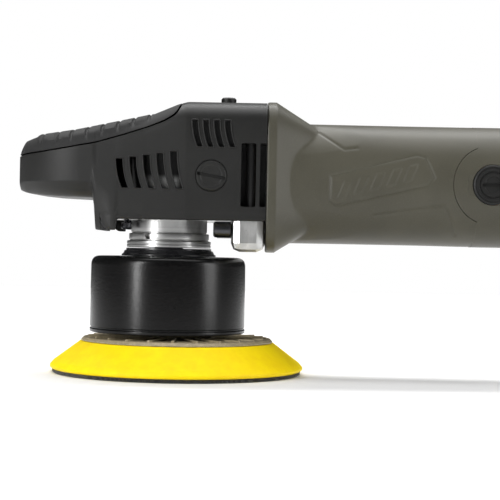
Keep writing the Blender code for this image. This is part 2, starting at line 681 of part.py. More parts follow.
def head_half_width(x):
    """Half breadth in plan: parallel at the rear, tapered forwards, then a round nose."""
    straight = HEAD_HALF_WIDTH - HEAD_TAPER * max(0.0, HEAD_TAPER_START - x)
    reach = min(1.0, max(0.0, (NOSE_START - x) / (HEAD_NOSE + NOSE_START + 1.2)))
    return straight * math.sqrt(1.0 - reach ** 2)


def head_rings(stations, inset, bottom_of, top_of):
    """Sections of the head at the given x, drawn in by inset."""
    rings = []
    for x in stations:
        half = head_half_width(x) - inset
        low, high = bottom_of(x) + MOTOR_Z, top_of(x) + MOTOR_Z
        ring = rounded_ring(x, half, low, high, max(HEAD_EDGE - inset, 2.0), 3)
        rings.append([(px, y, z - HEAD_CROWN * (y / HEAD_HALF_WIDTH) ** 2 * (z - low) / (high - low))
                      for px, y, z in ring])
    return rings


def make_head():
    """Cover shell over the gear case, and the palm grip that forms its upper nose."""
    stations = (-HEAD_NOSE, -88.3, -84.5, -76.0, -66.0, -54.5, -42.3, -41.7, -40.4, -30.0, -28.8, -12.8,
                5.0,
                11.0, HEAD_REAR)
    def form(name, finish):
        rings = head_rings(stations, 0.0, lambda x: along(BOTTOM_LINE, x), lambda x: along(TOP_LINE, x))
        return loft(name, rings, finish)
    cover, grip = form("head_cover", "black_plastic"), form("palm_grip", "palm_rubber")
    high = MOTOR_Z + HEAD_TOP + 12.0
    past = -HEAD_NOSE - 10.0

    def above_seam(name, drop):
        seam = [(past, MOTOR_Z + SEAM_LINE[0][1] - drop)]
        seam += [(x + drop, MOTOR_Z + z - drop) for x, z in SEAM_LINE[1:]]
        return outline_plate(name, seam + [(SEAM_LINE[-1][0] + drop, high), (past, high)], -60.0, 60.0)
    boolean(grip, above_seam("grip_space", 0.0), "INTERSECT")
    cut(cover, above_seam("cover_space", GAP))

    def ceiling(x):
        lowest = along(SEAM_LINE, x) if x < SEAM_LINE[-1][0] + HEAD_WALL else HEAD_TOP
        return lowest - HEAD_WALL - 0.2
    def floor(x):
        closed = along(BOTTOM_LINE, x) + HEAD_WALL if x < -60.0 else HEAD_WALL - 11.0
        return closed if x < NOSE_FLOOR_END else -70.0
    inside = (-85.5, -82.0, -76.0, -66.0, -50.0, NOSE_FLOOR_END - 0.5, NOSE_FLOOR_END, -25.7, -12.0,
              -2.5, 3.4, 6.3,
              9.0, 10.4, HEAD_REAR + 6.0)
    cut(cover, loft("head_space", head_rings(inside, HEAD_WALL, floor, ceiling)))
    cut_vents(cover)
    add_plugs(cover)
    lock_hole = rod("lock_hole", (LOCK_X, 0, MOTOR_Z + HEAD_TOP), LOCK_CAP_RADIUS + 0.5, 16.0, sides=16)
    cut(cover, lock_hole)


LOCK_CAP_RADIUS = 4.5


def vent(name, x, low, high, width, lean):
    """Cutter for one leaning slot through both sides of the cover."""
    half = width / 2
    points = [(x - half, high), (x + half, high), (x + half + lean * 0.4, (low + high) / 2),
              (x + half + lean, low), (x - half + lean, low), (x - half + lean * 0.4, (low + high) / 2)]
    return outline_plate(name, [(px, MOTOR_Z + pz) for px, pz in points], -55.0, 55.0)


def cut_vents(cover):
    """Nose slots, upper slots and the two exhaust windows, on both sides."""
    for i in range(5):
        cut(cover, vent("nose_vent_%d" % i, -27.5 + 7.8 * i, -5.4, 11.0 + 1.2 * i, 3.6, 2.5))
    for i in range(4):
        cut(cover, vent("upper_vent_%d" % i, 16.0 + 6.2 * i, 19.0, 33.6, 3.0, 1.6))
    cut(cover, vent("exhaust_front", EXHAUST_X, *EXHAUST, 8.6, 0.0))
    cut(cover, vent("exhaust_rear", EXHAUST_X + 8.3, *EXHAUST, 3.6, 0.0))


def add_plugs(cover):
    """Slotted plugs that close the side handle seats."""
    outer = HEAD_HALF_WIDTH + 0.6
    for name, side in (("side_plug_left", -1), ("side_plug_right", 1)):
        place = (PLUG_X, 0, MOTOR_Z + PLUG_RISE)
        cut(cover, rod(name + "_hole", (PLUG_X, side * HEAD_HALF_WIDTH, place[2]), PLUG_RADIUS + GAP,
                       16.0, "Y",
                       sides=28))
        stem = side * (CASE_HALF_WIDTH - 8.0)
        under = side * (CASE_HALF_WIDTH + GAP)
        face = side * outer
        plug = turned(name,
                      [(0.0, face), (PLUG_RADIUS - 0.6, face), (PLUG_RADIUS, side * (outer - 0.6)),
                             (PLUG_RADIUS, under), (3.9, under), (3.9, stem), (0.0, stem)], place, "Y",
                      "black_plastic", 28)
        half = 9.4
        slot = box(name + "_slot", (-half - 4, -1.2, -0.9), (half + 4, 1.2, 0.9))
        slot.location = (PLUG_X * MM, face * MM, place[2] * MM)
        slot.rotation_euler = (0.0, math.radians(10), 0.0)
        cut(plug, slot)


# ---- Spindle lock -----------------------------------------------------------------------------------
LOCK_COLLAR_RADIUS = 9.0


def make_lock():
    """Push button with its pin, and the spring under its head."""
    pin_bottom = MOTOR_Z + LOCK_COLLAR_RADIUS + 1.3
    cap_top = MOTOR_Z + HEAD_TOP + 3.5
    cap_bottom = MOTOR_Z + HEAD_TOP - 2.0
    button = turned("spindle_lock_button", [
        (0.0, cap_top), (LOCK_CAP_RADIUS - 1.0, cap_top), (LOCK_CAP_RADIUS, cap_top - 1.0),
        (LOCK_CAP_RADIUS, cap_bottom), (LOCK_PIN_RADIUS, cap_bottom), (LOCK_PIN_RADIUS, pin_bottom),
        (0.0, pin_bottom)], (LOCK_X, 0, 0), "Z", "black_plastic", 20)
    low = MOTOR_Z + 38.0 - LOCK_WELL + GAP
    high = cap_bottom - GAP
    coil("lock_spring", (LOCK_X, 0, (low + high) / 2), 3.6, 0.5, high - low, 4)
    return carrier("lock_axis", (LOCK_X, 0, MOTOR_Z + HEAD_TOP), button)


# ---- Motor housing ----------------------------------------------------------------------------------
def make_motor_housing():
    """Tube around the field, with the square bell in front that meets the gear case."""
    bell_end = BELL_X + BELL_LENGTH
    sections = (     # x, half width, below the axis, above the axis, corner radius
        (BELL_X, 41.0, 41.4, 47.3, 18.0),
        (bell_end, 41.0, 41.4, 47.3, 18.0),
        (bell_end + 9.0, HOUSING_RADIUS + 2.3, HOUSING_RADIUS + 2.0, 41.0, 24.0),
        (bell_end + 17.6, HOUSING_RADIUS, HOUSING_RADIUS, HOUSING_RADIUS + 0.2, 31.0),
        (SEAM_X - 50.0, HOUSING_RADIUS, HOUSING_RADIUS, HOUSING_RADIUS, 33.0),
        (SEAM_X, HOUSING_RADIUS, HOUSING_RADIUS + 0.4, HOUSING_RADIUS, 34.0),
    )
    rings = [rounded_ring(x, half, MOTOR_Z - low, MOTOR_Z + high, radius, 6)
             for x, half, low, high, radius in sections]
    housing = loft("motor_housing", rings, "olive_plastic")
    bore = rod("housing_bore", ((BELL_X + SEAM_X) / 2, 0, MOTOR_Z), HOUSING_RADIUS - HOUSING_WALL,
               200.0, "X",
               sides=40)
    lobe = rod("lobe_space", (BRUSH_X, 0, MOTOR_Z), LOBE_RADIUS + GAP, 120.0, "Y", sides=40)
    cut(housing, bore, lobe)
    for name, side, rise in (("a", -1, 1), ("b", 1, 1), ("c", -1, -1), ("d", 1, -1)):
        place = (BELL_X, side * FLANGE_SCREW[0], MOTOR_Z + rise * FLANGE_SCREW[1])
        cut(housing, rod("bell_hole_" + name, place, 2.3, 12.0, "X", sides=12))


# ---- Motor ------------------------------------------------------------------------------------------
CORE_X = (100.0, 150.0)
COMMUTATOR_X = (176.0, 199.0)
REAR_BEARING_X = 209.5
COIL_HALF_WIDTH = 13.5
BACK_IRON = 0.4             # least of the core left outside a coil's corners


def make_field():
    """Field laminations, the two coils in them, and the baffle behind the fan."""
    outer = HOUSING_RADIUS - HOUSING_WALL - GAP
    inner = ARMATURE_RADIUS + STATOR_GAP
    low, high = inner + 0.3, inner + 5.6
    core = turned("stator_core", ring_outline(inner, outer, CORE_X[0], CORE_X[1]), (0, 0, MOTOR_Z), "X",
                  "laminations", 24)
    slot = box("coil_slots", (CORE_X[0] - 10, -COIL_HALF_WIDTH - GAP, MOTOR_Z - high - GAP),
               (CORE_X[1] + 10, COIL_HALF_WIDTH + GAP, MOTOR_Z + high + GAP))
    middle = (sum(CORE_X) / 2, 0, MOTOR_Z)
    boolean(slot, rod("slot_limit", middle, outer - BACK_IRON, 100.0, "X", sides=64), "INTERSECT")
    cut(core, slot)
    for name, side in (("field_coil_upper", 1), ("field_coil_lower", -1)):
        z_low, z_high = sorted((MOTOR_Z + side * low, MOTOR_Z + side * high))
        coil_bar = box(name, (CORE_X[0] - 8, -COIL_HALF_WIDTH, z_low),
                       (CORE_X[1] + 8, COIL_HALF_WIDTH, z_high), "copper", 1.6)
        limit = rod(name + "_limit", middle, outer - BACK_IRON - GAP, 100.0, "X", sides=64)
        boolean(coil_bar, limit, "INTERSECT")
    turned("air_baffle", ring_outline(inner + 2.0, outer, 77.0, 79.5), (0, 0, MOTOR_Z), "X",
           "insulation", 24)


def make_armature():
    """Shaft with the pinion, lock collar, fan, core, windings and commutator."""
    place = (0, 0, MOTOR_Z)
    nose = SHAFT_RADIUS - 1.0
    rear = REAR_BEARING_X + REAR_BEARING[1] / 2
    shaft = turned("armature_shaft", [
        (0.0, rear), (nose, rear), (nose, COMMUTATOR_X[1] + 2), (SHAFT_RADIUS + 1, COMMUTATOR_X[1] + 2),
        (SHAFT_RADIUS + 1, 56.0), (SHAFT_RADIUS, 56.0), (SHAFT_RADIUS, 31.5), (nose, 31.5),
        (nose, 18.5),
        (0.0, 18.5)], place, "X", "turned_metal", 20)
    bore = SHAFT_RADIUS + 1 + GAP
    core = turned("armature_core", ring_outline(bore, ARMATURE_RADIUS, CORE_X[0], CORE_X[1]), place,
                  "X",
                  "laminations", 24)
    winding = turned("armature_winding", ring_outline(bore, ARMATURE_RADIUS - 2.0, CORE_X[1] + GAP,
                                                      COMMUTATOR_X[0] - 6.0, 3.0), place, "X", "copper",
                     20)
    commutator = turned("commutator",
                        ring_outline(bore, COMMUTATOR_RADIUS, COMMUTATOR_X[0], COMMUTATOR_X[1]),
                        place, "X", "copper", 20)
    fan = make_fan(bore)
    module_phase = math.pi / PINION_TEETH
    pinion = bevel_gear("pinion_gear", PINION_TEETH, PINION_RADIUS, GEAR_RADIUS, nose + GAP, 1.2,
                        module_phase, "dark_steel")
    pinion.matrix_world = Matrix.Translation(Vector(place) * MM) @ Matrix.Rotation(math.pi / 2, 4, "Y")
    collar = turned("lock_collar",
                    ring_outline(SHAFT_RADIUS + GAP, LOCK_COLLAR_RADIUS, LOCK_X - 2.3, LOCK_X + 3.0),
                    place, "X", "dark_steel", 24)
    floor = MOTOR_Z + LOCK_COLLAR_RADIUS + 1.3 - LOCK_TRAVEL - 0.7
    depth = floor - MOTOR_Z
    for k in range(LOCK_NOTCHES):
        notch = box("lock_notch_%d" % k, (LOCK_X - 6, -LOCK_PIN_RADIUS - 0.7, depth),
                    (LOCK_X + 7, LOCK_PIN_RADIUS + 0.7, LOCK_COLLAR_RADIUS + 4))
        turn = Matrix.Rotation(2 * math.pi * k / LOCK_NOTCHES, 4, "X")
        notch.matrix_world = Matrix.Translation(Vector(place) * MM) @ turn @ Matrix.Translation(notch.location)
        cut(collar, notch)
    return carrier("armature_axis", place, shaft, core, winding, commutator, fan, pinion, collar)


def make_fan(bore):
    """Cooling fan: a back disc with straight blades."""
    blades = 10
    tip = HOUSING_RADIUS - HOUSING_WALL - 2.5
    fan = turned("cooling_fan", ring_outline(bore, tip, 60.5, 62.5), (0, 0, MOTOR_Z), "X", "insulation",
                 30)
    hub = turned("fan_hub", ring_outline(bore, bore + 4.0, 62.0, 73.0), (0, 0, MOTOR_Z), "X", None, 20)
    join(fan, hub)
    for k in range(blades):
        blade = box("fan_blade_%d" % k, (61.5, -0.8, bore + 2.0), (72.0, 0.8, tip - 1.0))
        turn = Matrix.Rotation(2 * math.pi * k / blades, 4, "X")
        blade.matrix_world = Matrix.Translation((0, 0,
                                                 MOTOR_Z * MM)) @ turn @ Matrix.Translation(blade.location)
        join(fan, blade)
    return fan


def make_brushes():
    """Carrier plate with the rear bearing and brush boxes, and each brush with its spring and cap."""
    plate_x = 203.5
    outer = HOUSING_RADIUS - HANDLE_WALL - 1.2
    seat = REAR_BEARING[0] + GAP
    carrier_plate = turned("brush_carrier", [
        (outer, plate_x + 4), (outer, plate_x), (seat - 2.0, plate_x), (seat - 2.0, plate_x + 2.0),
        (seat, plate_x + 2.0), (seat, REAR_BEARING_X + 4.5), (seat + 2.6, REAR_BEARING_X + 4.5),
        (seat + 2.6, plate_x + 4)], (0, 0, MOTOR_Z), "X", "insulation", 24)
    bearing("rear_bearing", REAR_BEARING, SHAFT_RADIUS - 1.0 + GAP, (REAR_BEARING_X, 0, MOTOR_Z), "X")
    brush_half, brush_tall = 3.0, 5.0
    face = COMMUTATOR_RADIUS + 0.4
    back = face + 11.0
    box_end = HOUSING_RADIUS - 5.2
    for name, side in (("left", -1), ("right", 1)):
        def span(low, high):
            return sorted((side * low, side * high))
        y0, y1 = span(face + 2.0, box_end)
        tube = box("brush_box_" + name, (BRUSH_X - 5.2, y0, MOTOR_Z - 7.2),
                   (plate_x + 1.0, y1, MOTOR_Z + 7.2))
        y0, y1 = span(face - 4.0, box_end + 8.0)
        hole = box("brush_hole_" + name, (BRUSH_X - brush_half - GAP, y0, MOTOR_Z - brush_tall - GAP),
                   (BRUSH_X + brush_half + GAP, y1, MOTOR_Z + brush_tall + GAP))
        join(carrier_plate, tube)
        cut(carrier_plate, hole)
        y0, y1 = span(face, back)
        box("carbon_brush_" + name, (BRUSH_X - brush_half, y0, MOTOR_Z - brush_tall),
            (BRUSH_X + brush_half, y1, MOTOR_Z + brush_tall), "graphite")
        cap_inner = HOUSING_RADIUS - 4.0
        length = cap_inner - back - 2 * GAP
        coil("brush_spring_" + name, (BRUSH_X, side * (back + cap_inner) / 2, MOTOR_Z), 2.3, 0.4,
             length, 3, "Y")
        cap_face = HOUSING_RADIUS + 0.4
        turned("brush_cap_" + name, [(0.0, side * cap_face), (BRUSH_CAP_RADIUS - 0.8, side * cap_face),
                                     (BRUSH_CAP_RADIUS, side * (cap_face - 0.8)),
                                     (BRUSH_CAP_RADIUS, side * cap_inner), (0.0, side * cap_inner)],
               (BRUSH_X, 0, MOTOR_Z), "Y", "black_plastic", 32)


# ---- Handle -----------------------------------------------------------------------------------------
HANDLE_SECTIONS = (     # x, half width, below the axis, above the axis, corner radius
    (160.0, HOUSING_RADIUS, HOUSING_RADIUS + 0.4, HOUSING_RADIUS, 34.0),
    (203.0, HOUSING_RADIUS, HOUSING_RADIUS + 0.4, HOUSING_RADIUS, 34.0),
    (216.0, HOUSING_RADIUS - 2.0, HOUSING_RADIUS - 2.0, HOUSING_RADIUS - 1.0, 32.0),
    (229.0, 27.5, 26.5, 28.5, 26.0),
    (242.0, 23.3, 22.6, 24.0, 20.0),
    (262.0, 21.8, 21.8, 22.6, 18.5),
    (294.0, 21.2, 21.8, 22.2, 18.0),
    (325.0, 22.2, 23.6, 23.6, 18.5),
    (HANDLE_END - 5.0, 22.0, 23.6, 23.0, 18.5),
    (HANDLE_END, 18.5, 20.0, 19.5, 15.0),
)
PIVOT = (247.0, -17.0)          # trigger hinge: x, and height from the motor axis
TRIGGER_REAR = 312.0
DIAL = (322.0, 15.0)
LOCK_ON = (268.0, 4.0)
HANDLE_SCREWS = (("handle_screw_front", 227.0, 0.0, 27.4), ("handle_screw_rear", 329.0, -10.0, 19.0))


def handle_form(name, inset, finish=None):
    """Loft of the whole handle, or of its hollow."""
    rings = []
    for x, half, low, high, radius in HANDLE_SECTIONS:
        if inset and x == HANDLE_END:
            x -= 1.0 + inset
        elif inset and x == HANDLE_END - 5.0:
            x -= inset
        elif inset and x == HANDLE_SECTIONS[0][0]:
            x -= 8.0
        rings.append(rounded_ring(x, half - inset, MOTOR_Z - low + inset, MOTOR_Z + high - inset,
                                  radius - inset, 4))
    return loft(name, rings, finish)


def make_handle_half(name, side):
    """One half shell, with its screw bosses, pin lug and openings."""
    shell = handle_form(name, 0.0, "olive_plastic")
    cut(shell, handle_form(name + "_hollow", HANDLE_WALL))
    for screw, x, rise, reach in HANDLE_SCREWS:
        join(shell, rod(name + screw + "_boss", (x, 0, MOTOR_Z + rise), 4.2, 2 * reach, "Y", sides=16))
    pivot_x, pivot_rise = PIVOT
    lug_low, lug_high = TRIGGER_HALF_WIDTH + 0.7, TRIGGER_HALF_WIDTH + 4.1
    y0, y1 = sorted((side * lug_low, side * lug_high))
    join(shell, box(name + "_lug", (pivot_x - 3.5, y0, MOTOR_Z + pivot_rise - 2.6),
                    (pivot_x + 3.5, y1, MOTOR_Z + pivot_rise + 4.0)))
    other = sorted((-side * 80.0, side * GAP / 2))
    cut(shell, box(name + "_other_side", (140, other[0], 0), (500, other[1], 300)))
    front = box(name + "_front", (100, -90, 0), (SEAM_X + GAP, 90, 300))
    lobe = rod(name + "_lobe", (BRUSH_X, 0, MOTOR_Z), LOBE_RADIUS, 300.0, "Y", sides=40)
    cut(front, lobe)
    cut(shell, front)
    cut(shell,
        rod(name + "_cap_hole", (BRUSH_X, side * HOUSING_RADIUS, MOTOR_Z), BRUSH_CAP_RADIUS + GAP, 20.0,
                   "Y", sides=32))
    cut_handle_openings(shell, name, side)


def cut_handle_openings(shell, name, side):
    """Openings for the trigger, pin, dial, lock-on button, screws and gland."""
    pivot_x, pivot_rise = PIVOT
    slot_half = TRIGGER_HALF_WIDTH + 0.5
    cut(shell,
        box(name + "_trigger_slot", (pivot_x - 6.0, -slot_half, MOTOR_Z - 40),
            (TRIGGER_REAR + 2.0, slot_half, MOTOR_Z - 12)),
        rod(name + "_pin_hole", (pivot_x, 0, MOTOR_Z + pivot_rise), 1.8, 2 * (TRIGGER_HALF_WIDTH + 3.4),
            "Y", sides=12),
        box(name + "_dial_slot", (DIAL[0] - 10.5, -3.7, MOTOR_Z + DIAL[1]),
            (DIAL[0] + 10.5, 3.7, MOTOR_Z + 40)),
        rod(name + "_gland_hole", (HANDLE_END, 0, MOTOR_Z), GLAND_NECK + GAP, 14.0, "X", sides=24))
    if side < 0:
        cut(shell, rod(name + "_lock_on_hole", (LOCK_ON[0], -22.0, MOTOR_Z + LOCK_ON[1]), 5.1, 12.0,
                       "Y", sides=20))
    for screw, x, rise, reach in HANDLE_SCREWS:
        depth = reach - 6.0 if side < 0 else 6.0 + 7.0
        cut(shell, rod(name + screw + "_hole", (x, side * depth / 2, MOTOR_Z + rise), 1.8, depth + 2.0,
                       "Y", sides=12))
        if side < 0:
            cut(shell, rod(name + screw + "_well", (x, -reach + 6.0 - 20.0, MOTOR_Z + rise), 3.4, 40.0,
                           "Y", sides=12))


GLAND_NECK = 6.2


def make_handle():
    """Both half shells, their screws, and everything in and on the handle."""
    make_handle_half("handle_left", -1)
    make_handle_half("handle_right", 1)
    for name, x, rise, reach in HANDLE_SCREWS:
        seat = -reach + 6.0 - GAP
        turned(name, [(0.0, 12.0), (1.5, 12.0), (1.5, seat), (3.0, seat), (3.0, seat - 2.4),
                      (0.0, seat - 2.4)],
               (x, 0, MOTOR_Z + rise), "Y", "dark_steel", 12)
    low = MOTOR_Z - 9.0
    box("switch_body", (256.5, -9.0, low), (289.0, 9.0, MOTOR_Z + 12.0), "black_plastic", 1.0)
    box("speed_module", (293.0, -12.0, low), (317.0, 12.0, MOTOR_Z + 2.0), "insulation", 1.0)
    clamp = box("cord_clamp", (334.5, -11.0, MOTOR_Z - 9.0), (341.0, 11.0, MOTOR_Z + 9.0),
                "black_plastic", 1.0)
    cut(clamp, rod("clamp_bore", (338.0, 0, MOTOR_Z), CORD_RADIUS + GAP, 20.0, "X", sides=20))
    inner = HANDLE_END - 1.0 - HANDLE_WALL - GAP
    end = HANDLE_END + GLAND_LENGTH
    bore = CORD_RADIUS + GAP
    turned("cord_gland", [(6.2, end), (9.6, HANDLE_END + GAP + 1), (9.6, HANDLE_END + GAP),
                          (GLAND_NECK, HANDLE_END + GAP),
                          (GLAND_NECK, inner), (9.0, inner), (9.0, inner - 3.2), (bore, inner - 3.2),
                          (bore, end)],
           (0, 0, MOTOR_Z), "X", "black_plastic", 24)


def make_controls():
    """Trigger with its pin and spring, lock-on button and speed dial."""
    pivot_x, rise = PIVOT
    pivot_z = MOTOR_Z + rise
    under = MOTOR_Z - 27.0
    outline = [(pivot_x - 4.0, pivot_z + 2.0), (pivot_x - 4.0, MOTOR_Z - 24.5),
               (pivot_x + 6, under - 0.5),
               (pivot_x + 32, under - 2.5), (TRIGGER_REAR - 8, under - 1.5),
               (TRIGGER_REAR, under + 3.0),
               (TRIGGER_REAR, MOTOR_Z - 18.0), (pivot_x + 6, MOTOR_Z - 16.0),
               (pivot_x + 2, pivot_z + 3.5)]
    trigger = outline_plate("trigger", outline, -TRIGGER_HALF_WIDTH, TRIGGER_HALF_WIDTH,
                            "black_plastic")
    cut(trigger, rod("trigger_bore", (pivot_x, 0, pivot_z), 1.9, 40.0, "Y", sides=16))
    rod("trigger_pin", (pivot_x, 0, pivot_z), 1.5, 2 * (TRIGGER_HALF_WIDTH + 3.0), "Y", "turned_metal",
        12)
    carrier("trigger_axis", (pivot_x, 0, pivot_z), trigger)
    spring_x = 300.0
    trigger_top = MOTOR_Z - 16.0 - 2.0 * (spring_x - pivot_x - 6) / (TRIGGER_REAR - pivot_x - 6)
    low, high = trigger_top + 0.6, MOTOR_Z - 9.0 - GAP
    coil("trigger_spring", (spring_x, 0, (low + high) / 2), 3.4, 0.5, high - low, 3)
    lock_x, lock_rise = LOCK_ON
    lock = turned("lock_on_button",
                  [(0.0, -24.4), (3.8, -24.4), (4.6, -23.6), (4.6, -17.8), (6.2, -17.8), (6.2, -16.0),
                                     (0.0, -16.0)], (lock_x, 0, MOTOR_Z + lock_rise), "Y",
                  "black_plastic", 20)
    carrier("lock_on_axis", (lock_x, -20.0, MOTOR_Z + lock_rise), lock)
    dial = turned("speed_dial",
                  [(0.0, -6.0), (2.0, -6.0), (2.0, -3.0), (DIAL_RADIUS, -3.0), (DIAL_RADIUS, 3.0),
                                 (2.0, 3.0), (2.0, 6.0), (0.0, 6.0)], (DIAL[0], 0, MOTOR_Z + DIAL[1]),
                  "Y",
                  "black_plastic", 30)
    carrier("dial_axis", (DIAL[0], 0, MOTOR_Z + DIAL[1]), dial)


def main():
    """Build every sub-assembly."""
    make_plate()
    make_crank()
    make_skirt()
    make_gear_case()
    make_head()
    make_lock()
    make_motor_housing()
    make_field()
    make_armature()
    make_brushes()
    make_handle()
    make_controls()


main()
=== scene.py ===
import json
import math

import bmesh
import bpy
import numpy as np
from bpy.props import FloatProperty, FloatVectorProperty, IntProperty, PointerProperty
from mathutils import Matrix, Vector


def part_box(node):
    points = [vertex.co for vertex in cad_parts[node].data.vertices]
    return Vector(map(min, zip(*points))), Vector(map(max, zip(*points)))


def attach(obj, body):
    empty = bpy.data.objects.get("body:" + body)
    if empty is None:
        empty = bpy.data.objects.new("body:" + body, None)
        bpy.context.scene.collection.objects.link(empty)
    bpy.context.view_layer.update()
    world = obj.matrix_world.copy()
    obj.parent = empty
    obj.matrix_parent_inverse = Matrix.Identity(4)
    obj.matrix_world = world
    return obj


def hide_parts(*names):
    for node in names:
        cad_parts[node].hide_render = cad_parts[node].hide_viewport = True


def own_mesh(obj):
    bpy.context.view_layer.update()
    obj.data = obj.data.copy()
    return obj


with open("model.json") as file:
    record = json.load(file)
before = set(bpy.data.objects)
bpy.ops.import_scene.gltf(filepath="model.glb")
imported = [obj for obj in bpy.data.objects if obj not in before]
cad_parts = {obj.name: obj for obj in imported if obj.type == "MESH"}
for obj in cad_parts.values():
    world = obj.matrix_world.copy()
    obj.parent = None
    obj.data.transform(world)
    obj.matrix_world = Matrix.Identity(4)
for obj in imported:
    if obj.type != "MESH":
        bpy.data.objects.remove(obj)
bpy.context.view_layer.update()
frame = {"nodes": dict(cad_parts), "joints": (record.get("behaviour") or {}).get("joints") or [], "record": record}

bl_info = {
    "name": "Dual action polisher",
    "version": (1, 0, 0),
    "blender": (4, 5, 0),
    "location": "View3D > Sidebar > Polisher",
    "description": "Builds the visible surfaces of a dual action polisher around its solid model",
    "category": "Object",
}

MM = 0.001
JOINTS = {joint["name"]: joint for joint in frame["joints"]}
SLOTS = {part["node"]: part["material_slot"] for part in frame["record"]["subparts"]}
MOTOR_Z = JOINTS["armature_spin"]["pos_m"][2] / MM
PLATE_X = JOINTS["plate_spin"]["pos_m"][0] / MM


def limits(node):
    """Lowest and highest corner of a solid, in millimetres."""
    low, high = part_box(node)
    return np.array(low) / MM, np.array(high) / MM


def centre(node):
    """Middle of a solid's box, in millimetres."""
    low, high = limits(node)
    return (low + high) / 2


# ---- Sizes and colours a user would change ----------------------------------------------------------
class PolisherSizes(bpy.types.PropertyGroup):
    """Sizes of the visible detail, in millimetres."""
    rib_pitch: FloatProperty(name="Rib pitch",
                             description="Distance between the palm pad's raised blocks",
                             default=9.0, min=3.0, max=20.0)
    rib_height: FloatProperty(name="Rib height", description="Height of the palm pad's raised blocks",
                              default=1.6, min=0.0, max=3.0)
    seam_groove: FloatProperty(name="Seam groove", description="Width of the line around the palm pad",
                               default=0.9, min=0.2, max=3.0)
    panel_depth: FloatProperty(name="Panel depth",
                               description="Depth of the outline pressed into the motor housing",
                               default=0.55, min=0.0, max=2.0)
    grain: FloatProperty(name="Grain", description="Size of the moulded plastic's grain", default=0.55,
                         min=0.1,
                         max=4.0)
    round_steps: IntProperty(name="Round steps", description="Sides of a turned piece", default=144,
                             min=24,
                             max=360)


class PolisherColours(bpy.types.PropertyGroup):
    """Colours of the main finishes, linear."""
    cover: FloatVectorProperty(name="Cover", description="Black moulded head cover", subtype="COLOR",
                               size=3,
                               min=0, max=1, default=(0.0105, 0.0105, 0.010))
    palm: FloatVectorProperty(name="Palm pad", description="Soft pad on the head", subtype="COLOR",
                              size=3,
                              min=0, max=1, default=(0.013, 0.013, 0.013))
    housing: FloatVectorProperty(name="Housing", description="Olive-grey motor housing and handle",
                                 subtype="COLOR", size=3, min=0, max=1, default=(0.058, 0.055, 0.041))
    skirt: FloatVectorProperty(name="Skirt", description="Satin black skirt over the plate",
                               subtype="COLOR",
                               size=3, min=0, max=1, default=(0.003, 0.003, 0.003))
    foam: FloatVectorProperty(name="Foam", description="Yellow foam of the plate", subtype="COLOR",
                              size=3,
                              min=0, max=1, default=(0.90, 0.66, 0.0))
    disc: FloatVectorProperty(name="Disc", description="Stiff disc on the foam", subtype="COLOR",
                              size=3,
                              min=0, max=1, default=(0.30, 0.25, 0.155))


def sizes():
    """Current sizes."""
    return bpy.context.scene.polisher_sizes


def colours():
    """Current colours."""
    return bpy.context.scene.polisher_colours


# ---- Surfaces ---------------------------------------------------------------------------------------
def smooth(low, high, value):
    """Smooth step: 0 below low, 1 above high, 3t^2 - 2t^3 between."""
    t = np.clip((np.asarray(value, float) - low) / (high - low), 0.0, 1.0)
    return t * t * (3.0 - 2.0 * t)


def finish_mesh(name, points, faces, sharp=38.0):
    """Write points in millimetres and faces to a welded, outward-facing, smooth-shaded object."""
    mesh = bpy.data.meshes.new(name)
    mesh.from_pydata((np.asarray(points, float).reshape(-1, 3) * MM).tolist(), [], list(faces))
    bm = bmesh.new()
    bm.from_mesh(mesh)
    bmesh.ops.remove_doubles(bm, verts=bm.verts, dist=0.000002)
    bmesh.ops.recalc_face_normals(bm, faces=bm.faces)
    bm.to_mesh(mesh)
    bm.free()
    mesh.shade_smooth()
    mesh.set_sharp_from_angle(angle=math.radians(sharp))
    item = bpy.data.objects.new(name, mesh)
    bpy.context.scene.collection.objects.link(item)
    return item


def skin(name, points, wrap_rows=False, cap=False, sharp=38.0):
    """Surface through a grid of points (rows, around, 3), closed around each row.

    wrap_rows joins the last row to the first; cap closes the first and last row with a fan about
    its middle.
    """
    points = np.asarray(points, float)
    rows, around = points.shape[:2]
    row = np.arange(rows if wrap_rows else rows - 1)[:, None]
    column = np.arange(around)[None, :]
    after_row, after_column = (row + 1) % rows, (column + 1) % around
    corners = (row * around + column, row * around + after_column,
               after_row * around + after_column, after_row * around + column)
    faces = np.stack([np.broadcast_to(c, (row.size, around)) for c in corners], -1).reshape(-1,
                                                                                            4).tolist()
    flat = points.reshape(-1, 3)
    if cap:
        flat = np.vstack([flat, points[0].mean(0), points[-1].mean(0)])
        ring = np.arange(around)
        last = (rows - 1) * around
        for middle, start in ((rows * around, 0), (rows * around + 1, last)):
            fan = np.stack([start + ring, start + (ring + 1) % around, np.full(around, middle)], -1)
            faces += fan.tolist()
    return finish_mesh(name, flat, faces, sharp)


def fillet(points, radius, steps=5):
    """Round each inner corner of a polyline (radius, height) with an arc of its own radius."""
    points = np.asarray(points, float)
    radii = np.broadcast_to(radius, len(points))
    out = [points[:1]]
    for before, corner, after, want in zip(points, points[1:], points[2:], radii[1:]):
        a, b = before - corner, after - corner
        la, lb = np.hypot(*a), np.hypot(*b)
        a, b = a / la, b / lb
        half = math.acos(float(np.clip(a @ b, -1, 1))) / 2
        if want <= 0 or half > 1.5:
            out.append(corner[None])
            continue
        reach = min(want / math.tan(half), 0.49 * la, 0.49 * lb)
        t = np.linspace(0, 1, steps + 1)[:, None]
        start, end = corner + a * reach, corner + b * reach
        out.append((1 - t) ** 2 * start + 2 * t * (1 - t) * corner + t ** 2 * end)
    out.append(points[-1:])
    return np.vstack(out)


AXES = {"X": np.array([[0, 0, 1], [0, 1, 0], [-1, 0, 0]], float),
        "Y": np.array([[1, 0, 0], [0, 0, 1], [0, -1, 0]], float),
        "Z": np.eye(3)}


